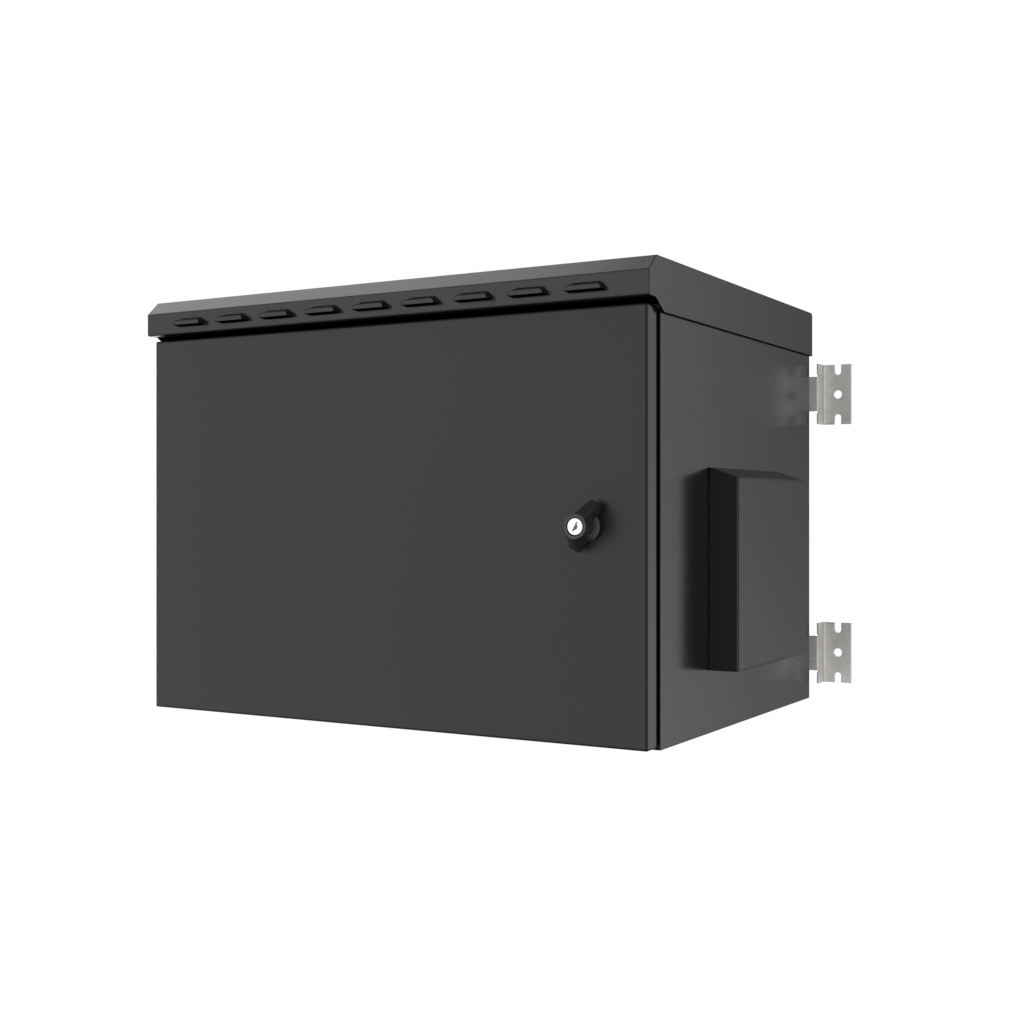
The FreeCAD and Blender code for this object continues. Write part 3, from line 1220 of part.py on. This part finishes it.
def build():
    """Every piece by its name."""
    lower, upper = -BRACKET_LEVEL, BRACKET_LEVEL
    right_front = front_rail()
    right_rear = rear_rail()
    upper_support = rail_support(True)
    lower_support = rail_support(False)
    upper_bracket = wall_bracket(upper)
    lower_bracket = wall_bracket(lower)
    hood = vent_hood()
    return {
        "side_panel_right": side_panel(fan_opening()),
        "side_panel_left": mirrored(side_panel(filter_opening())),
        "bottom_panel": bottom_panel(),
        "top_panel": top_panel(),
        "rear_panel": rear_panel(),
        "front_frame": front_frame(),
        "roof_canopy": roof_canopy(),
        "roof_supports": roof_supports(),
        "roof_bolts": roof_bolts(),
        "roof_nuts": roof_nuts(),
        "vent_hood_right": hood,
        "vent_hood_left": mirrored(hood),
        "hood_screws": hood_screws(),
        "hood_nuts": hood_nuts(),
        "fan_housing": fan_housing(),
        "fan_rotor": fan_rotor(),
        "fan_guard": fan_guard(),
        "fan_screws": fan_screws(),
        "fan_nuts": fan_nuts(),
        "filter_holder": filter_holder(),
        "filter_mat": filter_mat(),
        "filter_screws": filter_screws(),
        "filter_nuts": filter_nuts(),
        "rack_rail_front_right": right_front,
        "rack_rail_front_left": mirrored(right_front),
        "rack_rail_rear_right": right_rear,
        "rack_rail_rear_left": mirrored(right_rear),
        "rail_support_upper_right": upper_support,
        "rail_support_upper_left": mirrored(upper_support),
        "rail_support_lower_right": lower_support,
        "rail_support_lower_left": mirrored(lower_support),
        "rail_bolts": rail_bolts(),
        "rail_nuts": rail_nuts(),
        "wall_bracket_upper_right": upper_bracket,
        "wall_bracket_upper_left": mirrored(upper_bracket),
        "wall_bracket_lower_right": lower_bracket,
        "wall_bracket_lower_left": mirrored(lower_bracket),
        "bracket_bolts": bracket_bolts(),
        "bracket_nuts": bracket_nuts(),
        "cable_entry_plate": cable_entry_plate(),
        "cable_entry_gasket": cable_entry_gasket(),
        "cable_entry_screws": cable_entry_screws(),
        "entry_grommets": entry_grommets(),
        "earth_stud": earth_stud(),
        "earth_nut": earth_nut(),
        "hinge_arm_lower": hinge_arm(HINGE_LEVELS[0]),
        "hinge_arm_upper": hinge_arm(HINGE_LEVELS[1]),
        "hinge_bracket_lower": hinge_bracket(HINGE_LEVELS[0]),
        "hinge_bracket_upper": hinge_bracket(HINGE_LEVELS[1]),
        "hinge_pins": hinge_pins(),
        "door_panel": door_panel(),
        "door_stiffener": door_stiffener(),
        "door_gasket": door_gasket(),
        "lock_housing": lock_housing(),
        "lock_nut": lock_nut(),
        "wing_knob": wing_knob(),
        "key_plug": key_plug(),
        "lock_cam": lock_cam(),
        "cam_screw": cam_screw(),
    }


os.makedirs("parts", exist_ok=True)
for name, shape in build().items():
    shape.exportStep(os.path.join("parts", name + ".step"))
    print(name, len(shape.Solids), shape.isValid(), round(shape.Volume / 1000, 2))
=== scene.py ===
import math

import bpy
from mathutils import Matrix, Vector

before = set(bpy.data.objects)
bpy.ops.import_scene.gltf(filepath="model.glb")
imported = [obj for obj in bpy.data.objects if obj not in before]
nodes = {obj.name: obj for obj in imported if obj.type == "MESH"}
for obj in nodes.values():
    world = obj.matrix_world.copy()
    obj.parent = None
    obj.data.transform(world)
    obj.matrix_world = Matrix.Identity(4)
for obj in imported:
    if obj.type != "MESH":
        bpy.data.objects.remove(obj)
scene = bpy.context.scene
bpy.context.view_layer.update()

# Sizes in metres, in the cabinet's own frame: X right, Y into the wall, Z up,
# origin in the middle of the four wall bolts.
MM = 0.001
IMAGE_WIDTH = 1024

# Camera: where the photograph was taken from, worked out from the door's and the roof's corners. Lens and
# sensor are in millimetres, and the horizon's height above the picture's centre is in pixels.
CAMERA_PLACE = (0.8315, -1.6391, 0.0143)
CAMERA_YAW = math.radians(30)
CAMERA_LENS = 50.0
CAMERA_SENSOR = 36.0
HORIZON_ABOVE_CENTRE = 0.7

# Half the door's width, the front faces of the knob's collar, of the key plug in it and of the bezel,
# the height of the lock's axis, and how far below it the bezel's front face still carries its painted
# highlight
DOOR_HALF = 0.298
COLLAR_FACE_Y = -0.502
PLUG_FACE_Y = -0.5016
BEZEL_FACE_Y = -0.480
LOCK_Z = 0.0005
BEZEL_SHEEN_BELOW = 0.010

# Sizes of the patterns in millimetres. The powder coat's orange peel and clouds and the zinc's spangle are
# the real ones. Plated, moulded and cast surfaces have a grain of a tenth of a millimetre or less, which is
# too fine to show, so theirs is drawn one or two millimetres wide.
PEEL_SIZE = 1.111
CLOUD_SIZE = 110.0
SPANGLE_SIZE = 4.55
HAZE_SIZE = 2.0
CASTING_SIZE = 0.833
FINE_SIZE = 1.111

# Painted shade: thin dark lines are painted on the powder coat where an edge's round turns its surface away
# from the flat: the cosines of the turns at which that starts and is full
EDGE_SHADE_START = 0.995
EDGE_SHADE_FULL = 0.96

# Light and background. The camera sees nearly all of the floor's colour as plain white, and the small rest
# as lit, so that the cabinet's shadow shows faintly.
FLOOR_Z = -0.75
FLOOR_HALF = 2.5
FLOOR_WHITE = 1.01
FLOOR_WHITE_SHARE = 0.98
# The room's light on the cabinet, and what gloss sees between the cards
WORLD_FILL = 0.6
ROOM_GLOSS = 0.15
# Each card: its level, then low, high and edge softness of its bearing in degrees and of its height
GLOSS_CARDS = (
    (1.08, (-140.0, 46.0, 5.0), (-0.62, 0.36, 0.06)),  # wide white card in front and on the left
    (0.30, (46.0, 108.0, 5.0), (-0.72, 0.36, 0.06)),  # grey card on the right
    (1.00, (108.0, 156.6, 5.0), (-0.72, 0.36, 0.06)),  # white card behind on the right
    (0.16, (108.0, 166.0, 5.0), (-0.72, -0.04, 0.12)),  # brighter lower part of that card
    (0.60, (-172.0, -145.0, 4.0), (-0.72, -0.12, 0.06)),  # low grey card behind on the left
    (0.08, (166.0, 190.0, 6.0), (0.10, 0.75, 0.12)),  # faint high card straight behind
    (0.91, (-150.0, 60.0, 12.0), (0.58, 0.90, 0.12)),  # soft card overhead, front and left
)


def add_object(name, data):
    """Puts a mesh, a lamp or a camera into the scene."""
    thing = bpy.data.objects.new(name, data)
    scene.collection.objects.link(thing)
    return thing


def linear(hex_colour):
    """An sRGB hex colour as linear red, green, blue and alpha."""
    parts = [int(hex_colour[i:i + 2], 16) / 255 for i in (1, 3, 5)]
    return [c / 12.92 if c <= 0.04045 else ((c + 0.055) / 1.055) ** 2.4 for c in parts] + [1.0]


def add(tree, kind, settings=None, links=None):
    """Adds a node: settings are properties or socket values by name, links are sockets to plug in."""
    node = tree.nodes.new(kind)
    for key, value in (settings or {}).items():
        if isinstance(key, int) or key in node.inputs:
            node.inputs[key].default_value = value
        else:
            setattr(node, key, value)
    for key, socket in (links or {}).items():
        tree.links.new(socket, node.inputs[key])
    return node


def cells(size):
    """The scale of a texture whose cells are size millimetres wide, in whole cells per metre."""
    return round(1.0 / (size * MM))


def new_material(name):
    """A new material and its node tree, which is still empty."""
    material = bpy.data.materials.new(name)
    material.use_nodes = True
    material.node_tree.nodes.clear()
    return material, material.node_tree


def dress(material, *names):
    """Gives CAD nodes their finish."""
    for name in names:
        mesh = nodes[name].data
        mesh.materials.clear()
        mesh.materials.append(material)


def satin_powder_coat(name, bend=1.2, flat_front=0.0):
    """Dark grey polyester powder coat, sprayed and baked: satin, with a faint orange peel.
    The real peel is about 1 mm wide and a few micrometres deep; the colour hardly varies.
    Sheet edges and folds are drawn with a round of bend millimetres, and along them runs a thin line of
    painted
    shade: near black, fully rough and metallic, so that it stays dark under any light. A flat front that
    hangs facing the spray gun takes a thicker coat, rougher by flat_front."""
    material, tree = new_material(name)
    place = add(tree, "ShaderNodeTexCoord").outputs["Object"]
    peel = add(tree, "ShaderNodeTexNoise", {"Scale": cells(PEEL_SIZE), "Detail": 2.0, "Roughness": 0.5}, {
        "Vector": place})
    cloud = add(tree, "ShaderNodeTexNoise", {"Scale": cells(CLOUD_SIZE), "Detail": 3.0, "Roughness": 0.55}, {
        "Vector": place})
    tint = add(tree, "ShaderNodeMix", {"data_type": "RGBA"}, {"Factor": cloud.outputs["Fac"]})
    tint.inputs["A"].default_value = linear("#151516")
    tint.inputs["B"].default_value = linear("#18181a")
    gloss = add(tree, "ShaderNodeMapRange", {
        "From Min": 0.3, "From Max": 0.7, "To Min": 0.20, "To Max": 0.22}, {"Value": cloud.outputs["Fac"]})
    # The door's folded sides stand at DOOR_HALF to either side, and its flat front lies between them
    axes = add(tree, "ShaderNodeSeparateXYZ", links={"Vector": place})
    aside = add(tree, "ShaderNodeMath", {"operation": "ABSOLUTE"}, {0: axes.outputs["X"]})
    front = add(tree, "ShaderNodeMapRange", {
        "From Min": DOOR_HALF - 0.2 * MM, "From Max": DOOR_HALF - 1.0 * MM, "To Max": flat_front},
        {"Value": aside.outputs["Value"]})
    rough = add(tree, "ShaderNodeMath", {"operation": "ADD"}, {
        0: gloss.outputs["Result"], 1: front.outputs["Result"]})
    # How far the round of an edge turns the surface away from the flat
    edge = add(tree, "ShaderNodeBevel", {"samples": 8, "Radius": bend * MM})
    flat = add(tree, "ShaderNodeNewGeometry")
    turn = add(tree, "ShaderNodeVectorMath", {"operation": "DOT_PRODUCT"}, {
        0: edge.outputs["Normal"], 1: flat.outputs["Normal"]})
    # Painted shade: the share of the thin dark line drawn along each rounded edge
    painted_edge_shade = add(tree, "ShaderNodeMapRange", {"From Min": EDGE_SHADE_START, "From Max": EDGE_SHADE_FULL}, {
        "Value": turn.outputs["Value"]})
    # The painted edge shade is near black, fully rough and metallic, so the edge line stays dark
    colour = add(tree, "ShaderNodeMix", {"data_type": "RGBA"}, {
        "Factor": painted_edge_shade.outputs["Result"], "A": tint.outputs["Result"]})
    colour.inputs["B"].default_value = linear("#040404")
    finish = add(tree, "ShaderNodeMix", {"data_type": "FLOAT", "B": 1.0}, {
        "Factor": painted_edge_shade.outputs["Result"], "A": rough.outputs["Value"]})
    bump = add(tree, "ShaderNodeBump", {"Strength": 0.08, "Distance": 0.05 * MM},
               {"Height": peel.outputs["Fac"], "Normal": edge.outputs["Normal"]})
    shader = add(tree, "ShaderNodeBsdfPrincipled", {"IOR": 1.5}, {
        "Base Color": colour.outputs["Result"], "Roughness": finish.outputs["Result"],
        "Metallic": painted_edge_shade.outputs["Result"], "Normal": bump.outputs["Normal"]})
    add(tree, "ShaderNodeOutputMaterial", links={"Surface": shader.outputs["BSDF"]})
    return material


def galvanised_sheet():
    """Hot-dip galvanised sheet steel: dull zinc with a fine spangle of crystals 2 to 6 mm wide."""
    material, tree = new_material("galvanised_sheet_steel")
    place = add(tree, "ShaderNodeTexCoord").outputs["Object"]
    spangle = add(tree, "ShaderNodeTexVoronoi", {"Scale": cells(SPANGLE_SIZE)}, {"Vector": place})
    grain = add(tree, "ShaderNodeSeparateColor", links={"Color": spangle.outputs["Color"]})
    tint = add(tree, "ShaderNodeMix", {"data_type": "RGBA"}, {"Factor": grain.outputs["Red"]})
    tint.inputs["A"].default_value = linear("#dfddda")
    tint.inputs["B"].default_value = linear("#e8e6e3")
    gloss = add(tree, "ShaderNodeMapRange", {"To Min": 0.52, "To Max": 0.60}, {
        "Value": grain.outputs["Green"]})
    edge = add(tree, "ShaderNodeBevel", {"samples": 8, "Radius": 1.5 * MM})
    shader = add(tree, "ShaderNodeBsdfPrincipled", {"Metallic": 1.0}, {
        "Base Color": tint.outputs["Result"], "Roughness": gloss.outputs["Result"],
        "Normal": edge.outputs["Normal"]})
    add(tree, "ShaderNodeOutputMaterial", links={"Surface": shader.outputs["BSDF"]})
    return material


def plain(name, colour, roughness, metallic, size, depth, spread, level=0.5):
    """A finish with a grain of size millimetres: its colour varies by spread and its surface by depth
    millimetres. Level is a non-metal's specular level."""
    material, tree = new_material(name)
    place = add(tree, "ShaderNodeTexCoord").outputs["Object"]
    grain = add(tree, "ShaderNodeTexNoise", {"Scale": cells(size), "Detail": 3.0}, {"Vector": place})
    base = linear(colour)
    tint = add(tree, "ShaderNodeMix", {"data_type": "RGBA"}, {"Factor": grain.outputs["Fac"]})
    tint.inputs["A"].default_value = [c * (1 - spread) for c in base[:3]] + [1.0]
    tint.inputs["B"].default_value = [min(1.0, c * (1 + spread)) for c in base[:3]] + [1.0]
    bump = add(tree, "ShaderNodeBump", {"Strength": 0.3, "Distance": depth * MM}, {
        "Height": grain.outputs["Fac"]})
    settings = {"Roughness": roughness, "Metallic": metallic}
    if metallic < 0.5:
        settings["Specular IOR Level"] = level
    shader = add(tree, "ShaderNodeBsdfPrincipled", settings,
                 {"Base Color": tint.outputs["Result"], "Normal": bump.outputs["Normal"]})
    add(tree, "ShaderNodeOutputMaterial", links={"Surface": shader.outputs["BSDF"]})
    return material


def chrome_plug():
    """Polished chrome plate on the plug's front face; in the key slot it is thin and dull."""
    material, tree = new_material("chrome_plated_plug")
    place = add(tree, "ShaderNodeTexCoord").outputs["Object"]
    axes = add(tree, "ShaderNodeSeparateXYZ", links={"Vector": place})
    deep = add(tree, "ShaderNodeMapRange", {
        "From Min": PLUG_FACE_Y + 0.2 * MM, "From Max": PLUG_FACE_Y + 1.2 * MM}, {
        "Value": axes.outputs["Y"]})
    haze = add(tree, "ShaderNodeTexNoise", {"Scale": cells(HAZE_SIZE), "Detail": 2.0}, {"Vector": place})
    polish = add(tree, "ShaderNodeMapRange", {"To Min": 0.10, "To Max": 0.16}, {
        "Value": haze.outputs["Fac"]})
    gloss = add(tree, "ShaderNodeMath", {"operation": "MULTIPLY_ADD", 1: 0.4}, {
        0: deep.outputs["Result"], 2: polish.outputs["Result"]})
    tint = add(tree, "ShaderNodeMix", {"data_type": "RGBA"}, {"Factor": deep.outputs["Result"]})
    tint.inputs["A"].default_value = linear("#f6f6f7")
    tint.inputs["B"].default_value = linear("#f4f2f0")
    shader = add(tree, "ShaderNodeBsdfPrincipled", {"Metallic": 1.0}, {
        "Base Color": tint.outputs["Result"], "Roughness": gloss.outputs["Value"]})
    add(tree, "ShaderNodeOutputMaterial", links={"Surface": shader.outputs["BSDF"]})
    return material


def enamelled_casting(name, enamel, face_grey, face_y, lighter_above=-1.0):
    """Black enamelled zinc die casting, half gloss. Its front face at face_y is drawn in a lighter grey and
    smoother, but only above a given height, which by default is everywhere. On the bezel the lighter face is
    a painted highlight, and the dark enamel below that height is painted shade under the knob's wing."""
    material, tree = new_material(name)
    place = add(tree, "ShaderNodeTexCoord").outputs["Object"]
    axes = add(tree, "ShaderNodeSeparateXYZ", links={"Vector": place})
    behind = add(tree, "ShaderNodeMapRange", {
        "From Min": face_y + 0.2 * MM, "From Max": face_y + 0.6 * MM}, {"Value": axes.outputs["Y"]})
    # Painted shade: below the given height the front face keeps the dark enamel, as shade under the knob's
    # wing
    below = add(tree, "ShaderNodeMapRange", {
        "From Min": lighter_above + 2.0 * MM, "From Max": lighter_above - 2.0 * MM}, {
        "Value": axes.outputs["Z"]})
    dark_enamel_share = add(tree, "ShaderNodeMath", {"operation": "MAXIMUM"}, {
        0: behind.outputs["Result"], 1: below.outputs["Result"]})
    grain = add(tree, "ShaderNodeTexNoise", {"Scale": cells(CASTING_SIZE), "Detail": 3.0}, {"Vector": place})
    tint = add(tree, "ShaderNodeMix", {"data_type": "RGBA"}, {"Factor": dark_enamel_share.outputs["Value"]})
    tint.inputs["A"].default_value = linear(face_grey)
    tint.inputs["B"].default_value = linear(enamel)
    gloss = add(tree, "ShaderNodeMapRange", {"To Min": 0.27, "To Max": 0.37}, {
        "Value": dark_enamel_share.outputs["Value"]})
    edge = add(tree, "ShaderNodeBevel", {"samples": 6, "Radius": 0.6 * MM})
    bump = add(tree, "ShaderNodeBump", {"Strength": 0.3, "Distance": 0.03 * MM},
               {"Height": grain.outputs["Fac"], "Normal": edge.outputs["Normal"]})
    shader = add(tree, "ShaderNodeBsdfPrincipled", links={
        "Base Color": tint.outputs["Result"], "Roughness": gloss.outputs["Result"],
        "Normal": bump.outputs["Normal"]})
    add(tree, "ShaderNodeOutputMaterial", links={"Surface": shader.outputs["BSDF"]})
    return material


# The body, the roof, the door and the hoods are coated apart and then put together
powder = satin_powder_coat("powder_coat_dark_grey_satin")
roof_powder = satin_powder_coat("powder_coat_dark_grey_roof")
door_powder = satin_powder_coat("powder_coat_dark_grey_door", bend=2.8, flat_front=0.17)
hood_powder = satin_powder_coat("powder_coat_dark_grey_hoods", bend=0.6)
zinc_sheet = galvanised_sheet()
# Bright zinc plate, put on small parts in a barrel: pale and bluish, with soft reflections
zinc_plate = plain("bright_zinc_plated_steel", "#b9bcc0", roughness=0.28, metallic=1.0,
                   size=FINE_SIZE, depth=0.01, spread=0.04)
knob_black = enamelled_casting("black_enamelled_knob", "#272728", "#3a3a3a", COLLAR_FACE_Y)
# The bezel's lighter front face is a painted highlight; low down, under the knob's wing, it stays dark as
# painted shade
bezel_black = enamelled_casting(
    "black_enamelled_bezel", "#1c1c1d", "#5c5c5b", BEZEL_FACE_Y, LOCK_Z - BEZEL_SHEEN_BELOW)
# Glass-filled nylon, moulded in a lightly grained tool: near black and half matt
fan_plastic = plain("black_glass_filled_plastic", "#1b1b1c", roughness=0.5, metallic=0.0,
                    size=FINE_SIZE, depth=0.03, spread=0.1)
# Pressed rubber: dark, dull and a little uneven
rubber = plain("black_rubber", "#1e1e1f", roughness=0.75, metallic=0.0,
               size=1.429, depth=0.05, spread=0.1, level=0.3)
# Polyurethane foamed in place: a dull dark skin with shallow pores, a few to the centimetre
foam = plain("foamed_polyurethane_seal", "#2b2b2c", roughness=0.9, metallic=0.0,
             size=2.0, depth=0.25, spread=0.2, level=0.2)
# Needled polyester fleece: white and dull, with tufts about 4 mm wide
fleece = plain("polyester_filter_fleece", "#d9dbd8", roughness=0.95, metallic=0.0,
               size=3.85, depth=0.8, spread=0.08, level=0.1)
# Nickel plated steel wire: a warm, bright silver
wire = plain("nickel_plated_wire", "#c4c4c2", roughness=0.22, metallic=1.0,
             size=2.0, depth=0.01, spread=0.03)

dress(powder, "side_panel_right", "side_panel_left", "bottom_panel", "top_panel", "rear_panel",
      "front_frame", "cable_entry_plate", "roof_supports")
dress(roof_powder, "roof_canopy")
dress(hood_powder, "vent_hood_right", "vent_hood_left")
dress(door_powder, "door_panel")
for node_name in nodes:
    if node_name.startswith(("rack_rail", "rail_support", "wall_bracket", "hinge_arm", "hinge_bracket")):
        dress(zinc_sheet, node_name)
    if node_name.endswith(("_bolts", "_nuts", "_screws", "_screw", "_pins", "_stud", "_nut")):
        dress(zinc_plate, node_name)
dress(zinc_sheet, "door_stiffener")
dress(zinc_plate, "lock_cam")
dress(knob_black, "wing_knob")
dress(bezel_black, "lock_housing")
dress(chrome_plug(), "key_plug")
dress(fan_plastic, "fan_housing", "fan_rotor", "filter_holder")
dress(rubber, "cable_entry_gasket", "entry_grommets")
dress(foam, "door_gasket")
dress(fleece, "filter_mat")
dress(wire, "fan_guard")


# Stage: a pale floor far below the hung cabinet, soft lamps, a white surrounding for the eye and for gloss
def stage_floor():
    """Pale floor: nearly white to the eye, so that only the cabinet's shadow shows, and clear for gloss."""
    material, tree = new_material("stage_floor_white")
    diffuse = add(tree, "ShaderNodeBsdfDiffuse", {"Color": linear("#f0f0f0")})
    white = add(tree, "ShaderNodeEmission", {"Color": (1, 1, 1, 1), "Strength": FLOOR_WHITE})
    clear = add(tree, "ShaderNodeBsdfTransparent")
    path = add(tree, "ShaderNodeLightPath")
    share = add(tree, "ShaderNodeMath", {"operation": "MULTIPLY", 1: FLOOR_WHITE_SHARE}, {
        0: path.outputs["Is Camera Ray"]})
    seen = add(tree, "ShaderNodeMixShader", links={
        "Fac": share.outputs["Value"], 1: diffuse.outputs["BSDF"], 2: white.outputs["Emission"]})
    mix = add(tree, "ShaderNodeMixShader", links={
        "Fac": path.outputs["Is Glossy Ray"], 1: seen.outputs["Shader"], 2: clear.outputs["BSDF"]})
    add(tree, "ShaderNodeOutputMaterial", links={"Surface": mix.outputs["Shader"]})
    mesh = bpy.data.meshes.new("floor")
    corners = [(-FLOOR_HALF, -FLOOR_HALF, FLOOR_Z), (FLOOR_HALF, -FLOOR_HALF, FLOOR_Z),
               (FLOOR_HALF, FLOOR_HALF, FLOOR_Z), (-FLOOR_HALF, FLOOR_HALF, FLOOR_Z)]
    mesh.from_pydata(corners, [], [(0, 1, 2, 3)])
    mesh.materials.append(material)
    floor = add_object("floor", mesh)


def band(tree, value, low, high, soft):
    """1 where low < value < high and 0 outside, with soft edges of the given half-width."""
    rise = add(tree, "ShaderNodeMapRange", {
        "interpolation_type": "SMOOTHSTEP", "From Min": low - soft, "From Max": low + soft}, {"Value": value})
    fall = add(tree, "ShaderNodeMapRange", {
        "interpolation_type": "SMOOTHSTEP", "From Min": high - soft, "From Max": high + soft,
        "To Min": 1.0, "To Max": 0.0}, {"Value": value})
    both = add(tree, "ShaderNodeMath", {"operation": "MULTIPLY"},
               {0: rise.outputs["Result"], 1: fall.outputs["Result"]})
    return both.outputs["Value"]


def stage_world():
    """A studio room: plain white to the eye, and for gloss a dim room with white and grey cards.
    Bearings run from the front (0) over the right (90) to the back (180), heights from -1 to 1."""
    world = bpy.data.worlds.new("studio")
    scene.world = world
    world.use_nodes = True
    tree = world.node_tree
    tree.nodes.clear()
    path = add(tree, "ShaderNodeLightPath")
    direction = add(tree, "ShaderNodeTexCoord").outputs["Generated"]
    parts = add(tree, "ShaderNodeSeparateXYZ", links={"Vector": direction})
    front = add(tree, "ShaderNodeMath", {"operation": "MULTIPLY", 1: -1.0}, {0: parts.outputs["Y"]})
    turn = add(tree, "ShaderNodeMath", {"operation": "ARCTAN2"}, {
        0: parts.outputs["X"], 1: front.outputs["Value"]})
    degrees = add(tree, "ShaderNodeMath", {"operation": "DEGREES"}, {0: turn.outputs["Value"]})
    bearing = degrees.outputs["Value"]
    height = parts.outputs["Z"]
    total = add(tree, "ShaderNodeValue").outputs["Value"]
    total.default_value = ROOM_GLOSS
    for level, bearings, heights in GLOSS_CARDS:
        across = band(tree, bearing, *bearings)
        upright = band(tree, height, *heights)
        card = add(tree, "ShaderNodeMath", {"operation": "MULTIPLY"}, {0: across, 1: upright})
        total = add(tree, "ShaderNodeMath", {"operation": "MULTIPLY_ADD", 1: level},
                    {0: card.outputs["Value"], 2: total}).outputs["Value"]
    fill = add(tree, "ShaderNodeBackground", {"Color": (1, 1, 1, 1), "Strength": WORLD_FILL})
    gloss = add(tree, "ShaderNodeBackground", {"Color": (1, 1, 1, 1)}, {"Strength": total})
    white = add(tree, "ShaderNodeBackground", {"Color": (1, 1, 1, 1), "Strength": 1.0})
    soft = add(tree, "ShaderNodeMixShader", links={
        "Fac": path.outputs["Is Glossy Ray"], 1: fill.outputs["Background"], 2: gloss.outputs["Background"]})
    mix = add(tree, "ShaderNodeMixShader", links={
        "Fac": path.outputs["Is Camera Ray"], 1: soft.outputs["Shader"], 2: white.outputs["Background"]})
    add(tree, "ShaderNodeOutputWorld", links={"Surface": mix.outputs["Shader"]})


def area_lamp(name, place, target, size, power):
    """A soft rectangular lamp at place that points at target."""
    data = bpy.data.lights.new(name, "AREA")
    data.shape = "RECTANGLE"
    data.size, data.size_y = size
    data.energy = power
    lamp = add_object(name, data)
    lamp.location = place
    lamp.rotation_euler = (Vector(target) - Vector(place)).to_track_quat("-Z", "Y").to_euler()


stage_floor()
stage_world()
area_lamp("front_left", place=(-2.6, -5.2, 1.7), target=(0.0, -0.45, 0.0), size=(2.6, 2.6), power=6.0)
area_lamp("top_left", place=(-3.0, 0.4, 3.4), target=(0.0, -0.45, 0.24), size=(3.0, 3.0), power=22.0)

camera_data = bpy.data.cameras.new("photo_camera")
camera_data.lens = CAMERA_LENS
camera_data.sensor_width = CAMERA_SENSOR
camera_data.shift_y = -HORIZON_ABOVE_CENTRE / IMAGE_WIDTH
camera = add_object("photo_camera", camera_data)
camera.location = CAMERA_PLACE
camera.rotation_euler = (math.pi / 2, 0.0, CAMERA_YAW)
scene.camera = camera
scene.view_settings.view_transform = "Standard"
